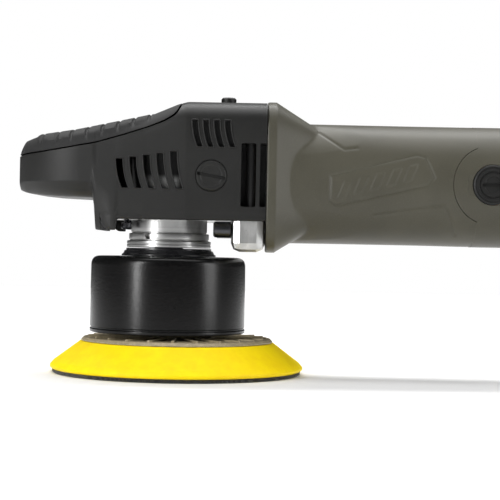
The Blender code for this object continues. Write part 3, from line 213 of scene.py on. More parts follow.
def lathe(name, profile, place, axis="Z", steps=None, wave=None, closed=False, sharp=38.0):
    """Profile of (radius, height) turned about an axis through place.

    A point is (r cos a, r sin a, h), turned so that h runs along the axis; wave(a, r, h) adds to r.
    """
    profile = np.asarray(profile, float)
    angle = np.linspace(0, 2 * math.pi, steps or sizes().round_steps, endpoint=False)[None, :]
    r, h = profile[:, :1] + 0 * angle, profile[:, 1:] + 0 * angle
    if wave:
        r = np.where(r > 0, r + wave(angle, r, h), r)
    points = np.stack([r * np.cos(angle), r * np.sin(angle), h], -1)
    points = points @ AXES[axis].T + np.asarray(place, float)
    return skin(name, points, wrap_rows=closed, sharp=sharp)


def rounded_box_ring(half, low, high, radii, corner_steps, side_steps):
    """Sections across X: rectangles with round corners, from arrays of sizes.

    radii are those of the top and the bottom corners, side_steps the points along a flank and along
    the top or the bottom. Each corner is an arc, and straight sides join the arcs; returns y and z as
    (rows, around).
    """
    half, low, high = (np.asarray(v, float)[:, None] for v in (half, low, high))
    top, bottom = (np.minimum(np.asarray(r, float)[:, None], np.minimum(half, (high - low) / 2) * 0.97)
                   for r in radii)
    swing = np.linspace(0, math.pi / 2, corner_steps + 1)[None, :]
    arcs = []
    for side, radius, level, start in ((1, top, high - top, 0.0), (-1, top, high - top, 0.5),
                                       (-1, bottom, low + bottom, 1.0), (1, bottom, low + bottom, 1.5)):
        turn = start * math.pi + swing
        arcs.append((side * (half - radius) + radius * np.cos(turn), level + radius * np.sin(turn)))
    y_ring, z_ring = [], []
    for k, (y, z) in enumerate(arcs):
        after = arcs[(k + 1) % 4]
        share = np.linspace(0, 1, side_steps[(k + 1) % 2] + 2)[None, 1:-1]
        y_ring += [y, y[:, -1:] * (1 - share) + after[0][:, :1] * share]
        z_ring += [z, z[:, -1:] * (1 - share) + after[1][:, :1] * share]
    return np.concatenate(y_ring, 1), np.concatenate(z_ring, 1)


def prism(name, outline, low, high, axis="Y"):
    """Outline of two coordinates, extruded along the third axis between low and high."""
    outline = np.asarray(outline, float)
    rows = []
    for depth in (low, high):
        level = np.full(len(outline), float(depth))
        columns = {"X": (level, outline[:, 0], outline[:, 1]),
                   "Y": (outline[:, 0], level, outline[:, 1]),
                   "Z": (outline[:, 0], outline[:, 1], level)}[axis]
        rows.append(np.stack(columns, -1))
    count = len(outline)
    ring = np.arange(count)
    sides = np.stack([ring, (ring + 1) % count, (ring + 1) % count + count, ring + count], -1).tolist()
    return finish_mesh(name, np.vstack(rows), sides + [ring.tolist(), (ring + count).tolist()])


def carve(piece, operation, *tools):
    """Apply a Boolean with each tool to a finished piece, and remove the tools."""
    for tool in tools:
        modifier = piece.modifiers.new("carve", "BOOLEAN")
        modifier.operation = operation
        modifier.object = tool
        modifier.solver = "EXACT"
    graph = bpy.context.evaluated_depsgraph_get()
    mesh = bpy.data.meshes.new_from_object(piece.evaluated_get(graph))
    piece.modifiers.clear()
    piece.data = mesh
    mesh.shade_smooth()
    mesh.set_sharp_from_angle(angle=math.radians(32))
    for tool in tools:
        bpy.data.objects.remove(tool, do_unlink=True)
    return piece


def place_piece(piece, body, material, slot, *nodes):
    """Give a piece its material and its body, and hide the solids that it stands for; slot is not used."""
    piece.data.materials.clear()
    piece.data.materials.append(material)
    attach(piece, body)
    if nodes:
        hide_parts(*nodes)
    return piece


# ---- Materials --------------------------------------------------------------------------------------
class Wire:
    """One output socket, with arithmetic that adds Math nodes."""

    def __init__(self, maker, socket):
        self.maker, self.socket = maker, socket

    def math(self, operation, other=0.0, reverse=False):
        """Math node on this value and another value or number."""
        first, second = (other, self) if reverse else (self, other)
        return self.maker.node("ShaderNodeMath", {"operation": operation}, {0: first, 1: second})

    def __add__(self, other): return self.math("ADD", other)
    def __radd__(self, other): return self.math("ADD", other)
    def __sub__(self, other): return self.math("SUBTRACT", other)
    def __rsub__(self, other): return self.math("SUBTRACT", other, True)
    def __mul__(self, other): return self.math("MULTIPLY", other)
    def __rmul__(self, other): return self.math("MULTIPLY", other)
    def __truediv__(self, other): return self.math("DIVIDE", other)
    def __gt__(self, other): return self.math("GREATER_THAN", other)
    def __lt__(self, other): return self.math("LESS_THAN", other)
    def __pow__(self, other): return self.math("POWER", other)


class Maker:
    """One Principled material and the nodes that feed it."""

    def __init__(self, name, roughness=0.5, metallic=0.0, **constants):
        self.material = bpy.data.materials.new(name)
        self.material.use_nodes = True
        self.tree = self.material.node_tree
        self.shader = self.tree.nodes["Principled BSDF"]
        self.shader.inputs["Roughness"].default_value = roughness
        self.shader.inputs["Metallic"].default_value = metallic
        for key, value in constants.items():
            self.shader.inputs[key.replace("_", " ").title().replace("Ior",
                                                                     "IOR")].default_value = value
        self.place = self.node("ShaderNodeTexCoord", output="Object")

    def node(self, kind, settings=None, values=None, output=0):
        """Add a node: its settings first, then the values or links of its sockets."""
        node = self.tree.nodes.new(kind)
        for key, value in (settings or {}).items():
            if key == "stops":
                ramp = node.color_ramp.elements
                ramp[0].position, ramp[0].color = value[0]
                ramp[1].position, ramp[1].color = value[-1]
                for position, colour in value[1:-1]:
                    ramp.new(position).color = colour
            else:
                setattr(node, key, value)
        for key, value in (values or {}).items():
            if isinstance(value, Wire):
                self.tree.links.new(value.socket, node.inputs[key])
            else:
                node.inputs[key].default_value = value
        return Wire(self, node.outputs[output])

    def noise(self, size, detail=3.0, rough=0.5, stretch=None):
        """Noise from 0 to 1 whose cells are about size millimetres."""
        place = self.place
        if stretch:
            place = self.node("ShaderNodeMapping", None, {"Vector": place, "Scale": stretch})
        return self.node("ShaderNodeTexNoise", None,
                         {"Vector": place, "Scale": 1.0 / (size * MM), "Detail": detail,
                          "Roughness": rough})

    def cells(self, size, feature="F1"):
        """Distance within cells of about size millimetres."""
        return self.node("ShaderNodeTexVoronoi", {"feature": feature},
                         {"Vector": self.place, "Scale": 1.0 / (size * MM)}, "Distance")

    def span(self, value, low, high, to_low, to_high):
        """Map a value from one range to another, held at the ends."""
        return self.node("ShaderNodeMapRange", {"interpolation_type": "SMOOTHSTEP"},
                         {"Value": value, "From Min": low, "From Max": high, "To Min": to_low,
                          "To Max": to_high})

    def mix(self, factor, first, second):
        """Colour between two colours."""
        def colour(value):
            return value if isinstance(value, Wire) else (*value, 1.0)
        return self.node("ShaderNodeMix", {"data_type": "RGBA"},
                         {"Factor": factor, 6: colour(first), 7: colour(second)}, 2)

    def axis(self, name, value=None):
        """X, Y or Z of the place, in metres."""
        return self.node("ShaderNodeSeparateXYZ", None, {0: value or self.place}, name)

    def bump(self, height, strength, distance, normal=None):
        """Bump from a height, distance in millimetres."""
        values = {"Height": height, "Strength": strength, "Distance": distance * MM}
        if normal:
            values["Normal"] = normal
        return self.node("ShaderNodeBump", None, values)

    def feed(self, socket, value):
        """Link or set one of the shader's sockets."""
        if isinstance(value, Wire):
            self.tree.links.new(value.socket, self.shader.inputs[socket])
        else:
            self.shader.inputs[socket].default_value = value


def shade(colour, amount):
    """Colour scaled by a number."""
    return tuple(min(1.0, c * amount) for c in colour)


def moulded_plastic(name, colour, roughness, grain, depth, wear=1.25):
    """Moulded plastic: spark-eroded grain, slow drift of tone, paler worn edges and fine scuffs."""
    m = Maker(name, roughness, specular_ior_level=0.24)
    drift = m.noise(38.0, 3.0)
    scuff = m.span(m.noise(3.0, 6.0, 0.7, (1.0, 1.0, 0.25)), 0.60, 0.78, 0.0, 1.0)
    edge = m.span(m.node("ShaderNodeNewGeometry", output="Pointiness"), 0.53, 0.62, 0.0, 1.0)
    speck = m.noise(grain * 1.6, 2.0)
    tone = m.mix(m.span(drift, 0.35, 0.65, 0.0, 1.0), shade(colour, 0.90), shade(colour, 1.12))
    tone = m.mix(m.span(speck, 0.45, 0.75, 0.0, 0.35), tone, shade(colour, 1.35))
    tone = m.mix(edge * 0.45, tone, shade(colour, wear * 1.4))
    m.feed("Base Color", m.mix(scuff * 0.22, tone, shade(colour, wear * 1.5)))
    m.feed("Roughness", roughness + (drift - 0.5) * 0.10 + (speck - 0.5) * 0.14 - scuff * 0.05)
    pits = m.cells(grain, "SMOOTH_F1") * 0.7 + m.noise(grain * 0.7, 2.0) * 0.5
    m.feed("Normal", m.bump(pits, 0.55, depth))
    return m.material


def pebbled_plastic(name, colour):
    """Satin skirt plastic with a rolled pebble grain that breaks up its highlights."""
    m = Maker(name, 0.27, specular_ior_level=0.2)
    pebbles = m.cells(1.15, "SMOOTH_F1")
    fine = m.noise(0.45, 3.0)
    drift = m.noise(26.0, 2.0)
    m.feed("Base Color",
           m.mix(m.span(pebbles, 0.15, 0.6, 0.0, 1.0), shade(colour, 0.75), shade(colour, 1.5)))
    m.feed("Roughness", 0.25 + (drift - 0.5) * 0.06 + (fine - 0.5) * 0.10)
    m.feed("Normal", m.bump(pebbles + fine * 0.4, 0.5, 0.05))
    return m.material


def rubber(name, colour):
    """Soft matt rubber with a fine grain and faint dust in the hollows."""
    m = Maker(name, 0.72, specular_ior_level=0.3)
    grain = m.noise(0.5, 4.0, 0.6)
    dust = m.span(m.noise(14.0, 5.0, 0.65), 0.52, 0.75, 0.0, 1.0)
    m.feed("Base Color", m.mix(dust * 0.35, m.mix(grain, shade(colour, 0.8), shade(colour, 1.25)),
                               shade(colour, 1.9)))
    m.feed("Roughness", 0.70 + (grain - 0.5) * 0.15 + dust * 0.08)
    m.feed("Normal", m.bump(grain, 0.5, 0.08))
    return m.material


def gloss_plastic(name, colour):
    """Polished black ring with hairline turning marks and a few smudges."""
    m = Maker(name, 0.3, specular_ior_level=0.3, coat_weight=0.08, coat_roughness=0.12)
    smudge = m.span(m.noise(6.0, 4.0), 0.45, 0.7, 0.0, 1.0)
    marks = m.noise(0.5, 2.0, 0.5, (0.05, 0.05, 1.0))
    m.feed("Base Color", m.mix(smudge, colour, shade(colour, 1.5)))
    m.feed("Roughness", 0.25 + smudge * 0.14 + marks * 0.05)
    m.feed("Normal", m.bump(marks, 0.15, 0.02))
    return m.material


SHADE_LINE = 92.0                           # height above which the gear case is darkened as painted shade inside the cover


def cast_metal(name, colour, roughness):
    """Die cast aluminium: orange-peel skin, flow marks and pores; near-black painted shade where the cover hides
    it.

    The painted shade starts at a set height and is weaker over a patch of bare metal behind the rear nose vents.
    """
    m = Maker(name, roughness, 1.0)
    x, z = m.axis("X"), m.axis("Z")
    patch = m.span(x, -0.013, -0.009, 0.0, 1.0) * m.span(x, 0.006, 0.010, 1.0, 0.0)
    patch = patch * m.span(z, (MOTOR_Z - 1.0) * MM, (MOTOR_Z + 3.0) * MM, 1.0, 0.0)
    # painted shade: above the set height, inside the cover where shade falls, the case goes near black, less so
    # over the patch
    painted_shade = m.span(z, (SHADE_LINE - 0.5) * MM, (SHADE_LINE + 0.5) * MM, 0.0, 1.0) * (1.0 - patch * 0.75)
    peel = m.noise(0.9, 3.0)
    flow = m.noise(9.0, 4.0, 0.6, (1.0, 1.0, 0.4))
    pores = m.span(m.cells(2.2), 0.0, 0.14, 1.0, 0.0)
    tone = m.mix(m.span(flow, 0.35, 0.7, 0.0, 1.0), shade(colour, 0.78), shade(colour, 1.15))
    bare = m.mix(pores * 0.6, tone, shade(colour, 0.35))
    # the near-black colour is painted shade laid over the bare metal
    m.feed("Base Color", m.mix(painted_shade, bare, (0.008, 0.008, 0.008)))
    m.feed("Metallic", 1.0 - painted_shade * 0.9)
    m.feed("Roughness", roughness + (flow - 0.5) * 0.2 + peel * 0.08 + painted_shade * 0.15)
    m.feed("Normal", m.bump(peel * 0.8 - pores * 0.5, 0.4, 0.10))
    return m.material


def turned_metal(name, colour, roughness, along=(0.02, 0.02, 1.0)):
    """Machined metal: fine feed lines around its axis, with bright and dull bands and light oil."""
    m = Maker(name, roughness, 1.0)
    lines = m.noise(0.16, 3.0, 0.6, along)
    bands = m.noise(1.4, 2.0, 0.5, along)
    oil = m.span(m.noise(5.0, 4.0), 0.5, 0.75, 0.0, 1.0)
    tone = m.mix(bands, shade(colour, 0.72), shade(colour, 1.2))
    m.feed("Base Color", m.mix(oil * 0.35, tone, shade(colour, 0.62)))
    m.feed("Roughness", roughness + (lines - 0.5) * 0.16 + oil * 0.10)
    m.feed("Normal", m.bump(lines, 0.25, 0.03))
    return m.material


def laminated_steel(name, colour):
    """Stacked sheet steel: a dark line between plates every half millimetre along X."""
    m = Maker(name, 0.42, 1.0)
    x = m.axis("X")
    plates = (x * (2.0 * math.pi / (0.7 * MM))).math("SINE")
    gap = m.span(plates, 0.75, 0.98, 0.0, 1.0)
    rust = m.span(m.noise(4.0, 5.0), 0.55, 0.8, 0.0, 1.0)
    m.feed("Base Color", m.mix(gap, m.mix(rust * 0.4, colour, (0.16, 0.10, 0.06)), shade(colour, 0.3)))
    m.feed("Roughness", 0.40 + gap * 0.3 + rust * 0.15)
    m.feed("Normal", m.bump(1.0 - gap, 0.5, 0.05))
    return m.material


def copper_wire(name):
    """Enamelled copper windings: strands along the coil under amber varnish."""
    m = Maker(name, 0.28, 1.0, coat_weight=0.5, coat_roughness=0.15)
    strands = m.noise(0.6, 2.0, 0.4, (0.08, 1.0, 1.0))
    varnish = m.noise(5.0, 3.0)
    tone = m.mix(strands, (0.42, 0.15, 0.05), (0.86, 0.42, 0.20))
    m.feed("Base Color", m.mix(m.span(varnish, 0.5, 0.75, 0.0, 0.5), tone, (0.30, 0.11, 0.03)))
    m.feed("Roughness", 0.24 + varnish * 0.2)
    m.feed("Normal", m.bump(strands, 0.8, 0.25))
    return m.material


def foam_skin(name, colour):
    """Skinned polyurethane foam: smooth skin with pinholes, slight mottling and a warmer shade."""
    m = Maker(name, 0.6, specular_ior_level=0.22)
    pin = m.span(m.cells(1.7), 0.0, 0.16, 1.0, 0.0) * m.span(m.noise(5.0, 2.0), 0.5, 0.62, 0.0, 1.0)
    mottle = m.noise(9.0, 4.0, 0.6)
    skin_grain = m.noise(0.7, 3.0)
    deep = (colour[0] * 0.98, colour[1] * 0.95, colour[2])
    tone = m.mix(m.span(mottle, 0.3, 0.7, 0.0, 1.0), deep,
                 (min(1.0, colour[0] * 1.03), colour[1] * 1.06, colour[2]))
    m.feed("Base Color", m.mix(pin * 0.8, tone, shade(colour, 0.55)))
    m.feed("Roughness", 0.58 + (mottle - 0.5) * 0.15 + pin * 0.2)
    m.feed("Normal", m.bump(skin_grain * 0.5 - pin, 0.35, 0.12))
    return m.material


def filled_plastic(name, colour):
    """Stiff glass-filled plastic: short fibres and speckles in a brown-grey body."""
    m = Maker(name, 0.42)
    fibres = m.noise(1.6, 5.0, 0.7, (1.0, 0.3, 1.0))
    speck = m.span(m.cells(0.9), 0.0, 0.2, 1.0, 0.0)
    tone = m.mix(m.span(fibres, 0.35, 0.7, 0.0, 1.0), shade(colour, 0.75), shade(colour, 1.2))
    m.feed("Base Color", m.mix(speck * 0.4, tone, shade(colour, 1.5)))
    m.feed("Roughness", 0.38 + fibres * 0.14)
    m.feed("Normal", m.bump(fibres, 0.3, 0.05))
    return m.material


def hook_cloth(name):
    """Black hook fastener: rows of tiny hooks over a woven ground."""
    m = Maker(name, 0.85, sheen_weight=0.3, sheen_roughness=0.4)
    x, y = m.axis("X"), m.axis("Y")
    rate = 2.0 * math.pi / (1.3 * MM)
    rows = (x * rate).math("SINE") * (y * rate).math("SINE")
    hooks = m.span(rows, 0.1, 0.7, 0.0, 1.0)
    fuzz = m.noise(0.35, 3.0)
    m.feed("Base Color", m.mix(hooks * fuzz, (0.006, 0.006, 0.006), (0.045, 0.045, 0.045)))
    m.feed("Normal", m.bump(hooks + fuzz * 0.6, 0.9, 0.45))
    return m.material


def graphite(name):
    """Pressed graphite with a soft sheen and a few bright grains."""
    m = Maker(name, 0.5, 0.2)
    grain = m.noise(0.4, 4.0)
    m.feed("Base Color", m.mix(grain, (0.018, 0.018, 0.02), (0.07, 0.07, 0.075)))
    m.feed("Roughness", 0.42 + grain * 0.25)
    m.feed("Normal", m.bump(grain, 0.3, 0.05))
    return m.material


FINISHES = {}


def make_finishes():
    """One material for each of the record's slots."""
    c, grain = colours(), sizes().grain
    FINISHES.update({
        "black_plastic": moulded_plastic("black_moulding", tuple(c.cover), 0.50, grain, 0.07),
        "palm_rubber": rubber("palm_rubber", tuple(c.palm)),
        "olive_plastic": moulded_plastic("olive_moulding", tuple(c.housing), 0.46, grain * 0.8, 0.04,
                                         1.1),
        "shroud_plastic": pebbled_plastic("pebbled_skirt", tuple(c.skirt)),
        "gloss_ring": gloss_plastic("gloss_black", (0.009, 0.009, 0.010)),
        "cast_metal": cast_metal("cast_aluminium", (0.56, 0.56, 0.55), 0.36),
        "turned_metal": turned_metal("turned_steel", (0.42, 0.42, 0.415), 0.31),
        "dark_steel": turned_metal("blackened_steel", (0.07, 0.07, 0.075), 0.36, (1.0, 1.0, 1.0)),
        "copper": copper_wire("enamelled_copper"),
        "laminations": laminated_steel("laminated_steel", (0.34, 0.34, 0.35)),
        "insulation": filled_plastic("insulating_plastic", (0.20, 0.17, 0.12)),
        "graphite": graphite("pressed_graphite"),
        "foam": foam_skin("foam_skin", tuple(c.foam)),
        "disc_plastic": filled_plastic("disc_plastic", tuple(c.disc)),
        "hooks": hook_cloth("hook_cloth"),
    })


# ---- Head -------------------------------------------------------------------------------------------
HEAD_TOP, SIDE_BOTTOM = 47.2, -23.5         # heights over the motor axis
CROWN = 5.5                                 # fall of the top from its middle to its sides
NOSE_TIP, HEAD_REAR, HALF_WIDTH = -89.5, 57.2, 40.0
TOP_LINE = ((NOSE_TIP, 13.6), (-88.6, 18.0), (-85.5, 22.0), (-76.0, 25.4), (-54.5, 28.9), (-33.0, 33.5),
            (-12.8, 38.0), (5.0, 45.6), (11.0, HEAD_TOP), (HEAD_REAR, HEAD_TOP))
BOTTOM_LINE = ((NOSE_TIP, -4.6), (-88.6, -7.0), (-84.5, -8.5), (-76.0, -9.8), (-66.0, -10.6),
               (-42.4, -11.4),
               (-41.8, -28.0), (-41.2, -30.0), (-29.0, -30.0), (-28.2, SIDE_BOTTOM),
               (HEAD_REAR, SIDE_BOTTOM))
SEAM_LINE = ((-110.0, 13.8), (-89.5, 13.8), (-73.3, 15.3), (-59.0, 17.4), (-41.1, 20.7), (-25.7, 25.2),
             (-12.0, 29.7), (-2.5, 33.5), (3.4, 37.2), (6.3, 40.9), (6.9, 45.0))
NOSE_VENTS = [(-27.3 + 7.8 * i, -5.6, 11.0 + 1.1 * i, 3.7, 3.6) for i in range(5)]
UPPER_VENTS = [(15.9 + 6.2 * i, 18.6, 33.6, 2.9, 3.2) for i in range(4)]
EXHAUSTS = [(46.9, -15.4, 21.0, 8.6, 0.0), (55.2, -15.4, 21.0, 3.6, 0.0)]


def line(table, x, blur=0.8):
    """Height along a table of (x, height), averaged over a short reach to round its corners."""
    table = np.asarray(table, float)
    shifts = np.linspace(-blur, blur, 7)
    return np.mean([np.interp(np.asarray(x) + s, table[:, 0], table[:, 1]) for s in shifts], 0)


def head_half_width(x):
    """Half breadth in plan: parallel behind the spindle, tapered ahead of it, then an elliptic nose."""
    x = np.asarray(x, float)
    straight = HALF_WIDTH - 0.075 * np.maximum(0.0, 11.0 - x)
    reach = np.clip((-50.0 - x) / 39.8, 0.0, 1.0)
    return straight * np.sqrt(1.0 - reach ** 2)


def crowned(y, z, low, high):
    """Heights lowered by CROWN (y / half width)^2, which fades out at half height."""
    middle, reach = (low + high) / 2, (high - low) / 2
    return z - CROWN * (y / HALF_WIDTH) ** 2 * np.clip((z - middle) / reach, 0, 1)


def head_surface(x, ribs=False):
    """Outer sections of the head at stations x.

    Each is a round-cornered rectangle, barrelled by 1 - 0.03 v^2, its top crowned, and drawn in below
    the fold at the nose. A line is pressed in along the cover's lower edge.
    With ribs, blocks rise where the pad's top is not within a notch across or along it.
    """
    size = sizes()
    half, low, high = head_half_width(x), line(BOTTOM_LINE, x, 0.25), line(TOP_LINE, x)
    bottom_radius = 5.0 - 3.8 * smooth(-42, -28, x)
    y, z = rounded_box_ring(half, low, high, (np.full(len(x), 10.0), bottom_radius), 9, (40, 22))
    column = np.asarray(x)[:, None]
    middle, reach = (low + high)[:, None] / 2, (high - low)[:, None] / 2
    y = y * (1 - 0.03 * ((z - middle) / reach) ** 2)
    z = crowned(y, z, low[:, None], high[:, None])
    fold = np.interp(column, (-45.0, -38.0, -29.0), (-2.3, -5.0, -12.0))
    depth = 6.0 * (1 - smooth(-44, -31, column)) * smooth(-92, -78, column)
    share = np.clip((fold - z) / np.maximum(fold - low[:, None], 1.0), 0, 1)
    y = y * (1 - depth / np.maximum(half[:, None], 8.0) * share)
    edge = smooth(-43, -38, column) * np.exp(-((z - SIDE_BOTTOM - 2.2) / 0.5) ** 2) * (np.abs(y) > 20)
    y = y - np.sign(y) * 0.45 * edge
    if ribs:
        seam = line(SEAM_LINE, x)[:, None]
        pad = smooth(seam + 3.2, seam + 5.0, z) * smooth(-78, -75.5,
                                                         column) * (1 - smooth(-11, -9, column))
        def notch(value, pitch, wide):
            part = np.mod(value, pitch)
            return 1 - smooth(wide * 0.3, wide, np.minimum(part, pitch - part))
        across = notch(column + 74.0, size.rib_pitch, 1.3)
        along = notch(y + 13.0, 26.0, 1.1)
        lift = size.rib_height * pad * (1 - np.maximum(across, along)) - 0.45 * pad
        length = np.hypot(y, z - middle)
        y, z = y + lift * y / length, z + lift * (z - middle) / length
    return np.stack([column + 0 * y, y, z + MOTOR_Z], -1)


def slot_outline(x, low, high, width, lean, corner=1.3):
    """Outline of a leaning slot in X and Z: round corners, and sides that follow x + lean t^2."""
    t = np.linspace(0, 1, 14)
    height = high - (high - low) * t
    right = np.stack([x + width / 2 + lean * t ** 2, height], -1)
    left = np.stack([x - width / 2 + lean * t ** 2, height], -1)[::-1]
    top = [[x, high]]
    points = np.vstack([top, right, left, top])
    radii = np.zeros(len(points))
    radii[[1, 14, 15, 28]] = min(corner, width * 0.42)
    return fillet(points, radii, 4)[:-1] + [0.0, MOTOR_Z]


def tube(name, path, radius, normal, around=10):
    """Round wire along a closed path: path + radius (cos a N + sin a T x N)."""
    path = np.asarray(path, float)
    tangent = np.roll(path, -1, 0) - np.roll(path, 1, 0)
    tangent /= np.linalg.norm(tangent, axis=1, keepdims=True)
    normal = np.broadcast_to(np.asarray(normal, float), path.shape)
    side = np.cross(tangent, normal)
    a = np.linspace(0, 2 * math.pi, around, endpoint=False)[None, :, None]
    points = path[:, None] + radius * (np.cos(a) * normal[:, None] + np.sin(a) * side[:, None])
    return skin(name, points, wrap_rows=True)


def merge(name, pieces):
    """One object from several finished pieces."""
    bm = bmesh.new()
    for piece in pieces:
        bm.from_mesh(piece.data)
        bpy.data.objects.remove(piece, do_unlink=True)
    mesh = bpy.data.meshes.new(name)
    bm.to_mesh(mesh)
    bm.free()
    mesh.shade_smooth()
    mesh.set_sharp_from_angle(angle=math.radians(38))
    item = bpy.data.objects.new(name, mesh)
    bpy.context.scene.collection.objects.link(item)
    return item


def above_seam(name, drop):
    """Everything over the pad's seam, lowered by drop."""
    x = np.concatenate([np.linspace(-110, -3, 50), np.linspace(-2, 6.9, 14)])
    seam = np.stack([x + drop * smooth(-14, 3, x), line(SEAM_LINE, x, 1.2) + MOTOR_Z - drop], -1)
    roof = [[seam[-1, 0] + 0.2, MOTOR_Z + 60], [-110, MOTOR_Z + 60]]
    return prism(name, np.vstack([seam, roof]), -60.0, 60.0)


def head_stations(rib_step):
    """Stations along the head: close together at the nose tip and at the lip."""
    nose = NOSE_TIP + 29.5 * (1 - np.cos(np.linspace(0, math.pi / 2, 30)))
    body = np.arange(-59.2, 12.0, rib_step)
    return np.concatenate([nose, body, np.linspace(12.4, HEAD_REAR, 24)])


def make_head_cover():
    """Cover shell: the outer skin less its hollow, slots, windows, plug seats and button hole."""
    cover = skin("head_cover_skin", head_surface(head_stations(1.0)), cap=True)
    inside = np.concatenate([np.linspace(-85.5, -38.5, 20), np.linspace(-38.0, 10.4, 24),
                             [HEAD_REAR + 6]])
    seam = np.interp(inside, *np.asarray(SEAM_LINE).T)
    ceiling = np.where(inside < 9.9, seam, HEAD_TOP) - 3.2
    floor = np.where(inside < -60, np.interp(inside, *np.asarray(BOTTOM_LINE).T) + 3.0, -8.0)
    floor = np.where(inside < -38.2, floor, -70.0)
    y, z = rounded_box_ring(head_half_width(inside) - 3.0, floor, ceiling,
                            (7.0 + 0 * inside, 5.0 + 0 * inside),
                            4, (6, 6))
    z = crowned(y, z, line(BOTTOM_LINE, inside, 0.25)[:, None], line(TOP_LINE, inside)[:, None])
    hollow = skin("hollow", np.stack([inside[:, None] + 0 * y, y, z + MOTOR_Z], -1), cap=True)
    carve(cover, "DIFFERENCE", above_seam("pad_space", sizes().seam_groove))
    carve(cover, "DIFFERENCE", hollow)
    slots = [prism("slot", slot_outline(*vent), -60.0,
                   60.0) for vent in NOSE_VENTS + UPPER_VENTS + EXHAUSTS]
    carve(cover, "DIFFERENCE", merge("slots", slots))
    plug = centre("side_plug_left")
    button = centre("spindle_lock_button")
    holes = [lathe("seat", ((0, -60), (9.2, -60), (9.2, 60), (0, 60)), (plug[0], 0, plug[2]), "Y", 64),
             lathe("hole", ((0, 0), (5.0, 0), (5.0, 30), (0, 30)), (button[0], 0, MOTOR_Z + 40), "Z",
                   48)]
    carve(cover, "DIFFERENCE", *holes)
    rims = []
    for side in (-1, 1):
        for x, low, high, width, lean in NOSE_VENTS + UPPER_VENTS:
            outline = slot_outline(x, low - 0.4, high + 0.4, width + 0.8, lean, 1.7)
            middle = 11.5
            swell = 1 - 0.03 * ((outline[:, 1] - MOTOR_Z - middle) / 35.0) ** 2
            depth = side * (head_half_width(outline[:, 0]) * swell + 0.05)
            rims.append(tube("rim", np.stack([outline[:, 0], depth, outline[:, 1]], -1), 0.42,
                             (0, side, 0)))
    return cover, merge("vent_rims", rims)


def make_palm_pad():
    """Soft pad on the nose, with raised blocks between notches."""
    pad = skin("palm_pad", head_surface(head_stations(0.36), ribs=True), cap=True)
    return carve(pad, "INTERSECT", above_seam("pad_limit", 0.0))


def make_plug(name):
    """Slotted plug of a side handle seat: rimmed face, dished middle and a leaning coin slot."""
    low, high = limits(name)
    side = -1 if low[1] < 0 else 1
    face, stem = (high[1], low[1]) if side > 0 else (-low[1], -high[1])
    radius = (high[0] - low[0]) / 2
    profile = [(0, face - 0.5), (radius - 3.1, face - 0.5), (radius - 2.5, face - 0.05),
               (radius - 0.9, face),
               (radius, face - 0.9), (radius, face - 3.8), (3.9, face - 3.8), (3.9, stem), (0, stem)]
    middle = centre(name)
    profile = fillet(profile, (0, 0.2, 0.2, 0.4, 0.5, 0.2, 0.2, 0.2, 0), 4) * (1, side)
    plug = lathe(name + "_turned", profile, (middle[0], 0, middle[2]), "Y", 96)
    lean = math.radians(10)
    c, s = math.cos(lean), math.sin(lean)
    corners = np.array([(-8.2, -0.95), (8.2, -0.95), (8.2, 0.95), (-8.2, 0.95)]) @ np.array([[c, -s],
                                                                                             [s, c]])
    depth = sorted((side * (face - 1.9), side * (face + 2)))
    return carve(plug, "DIFFERENCE", prism("coin_slot", corners + (middle[0], middle[2]), *depth))


def spring(name, node, turns, wire, axis_steps=16):
    """Compression spring: a helix whose pitch closes up at both ends.

    At turn u of n: (R cos 2 pi u, R sin 2 pi u, h(u)), with h a smooth step blended with u / n.
    """
    low, high = limits(node)
    middle, radius = (low + high) / 2, (high[0] - low[0]) / 2 - wire
    u = np.linspace(0, 1, int(turns * 36) + 1)
    rise = np.clip((u - 0.9 / turns) / (1 - 1.8 / turns), 0, 1)
    height = low[2] + wire + (high[2] - low[2] - 2 * wire) * (0.06 * u + 0.94 * rise)
    angle = 2 * math.pi * turns * u
    path = np.stack([middle[0] + radius * np.cos(angle), middle[1] + radius * np.sin(angle), height],
                    -1)
    tangent = np.gradient(path, axis=0)
    tangent /= np.linalg.norm(tangent, axis=1, keepdims=True)
    outward = np.stack([np.cos(angle), np.sin(angle), 0 * angle], -1)
    side = np.cross(tangent, outward)
    a = np.linspace(0, 2 * math.pi, axis_steps, endpoint=False)[None, :, None]
    points = path[:, None] + wire * (np.cos(a) * outward[:, None] + np.sin(a) * side[:, None])
    return skin(name, points, cap=True)


class POLISHER_OT_head(bpy.types.Operator):
    """Cover, palm pad, vent rims, handle seat plugs, and the spindle lock button with its spring"""
    bl_idname = "polisher.head"
    bl_label = "Head"

    def execute(self, context):
        black = FINISHES["black_plastic"]
        cover, rims = make_head_cover()
        place_piece(cover, "housing", black, "black_plastic", "head_cover")
        place_piece(rims, "housing", black, "black_plastic")
        place_piece(make_palm_pad(), "housing", FINISHES["palm_rubber"], "palm_rubber", "palm_grip")
        for node in ("side_plug_left", "side_plug_right"):
            place_piece(make_plug(node), "housing", black, "black_plastic", node)
        low, high = limits("spindle_lock_button")
        profile = [(0, high[2] - 0.5), (2.2, high[2] - 0.5), (2.9, high[2]), (3.6, high[2]),
                   (4.5, high[2] - 0.9),
                   (4.5, high[2] - 5.5), (2.0, high[2] - 5.5), (2.0, low[2]), (0, low[2])]
        middle = centre("spindle_lock_button")
        button = lathe("lock_button_turned", fillet(profile, 0.3, 4), (middle[0], middle[1], 0), "Z",
                       64)
        place_piece(button, "lock_button", black, "black_plastic", "spindle_lock_button")
        coil = spring("lock_coil", "lock_spring", 5, 0.5)
        place_piece(coil, "housing", FINISHES["turned_metal"], SLOTS["lock_spring"], "lock_spring")
        low, high = limits("lock_spring")
        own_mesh(coil)
        return {"FINISHED"}


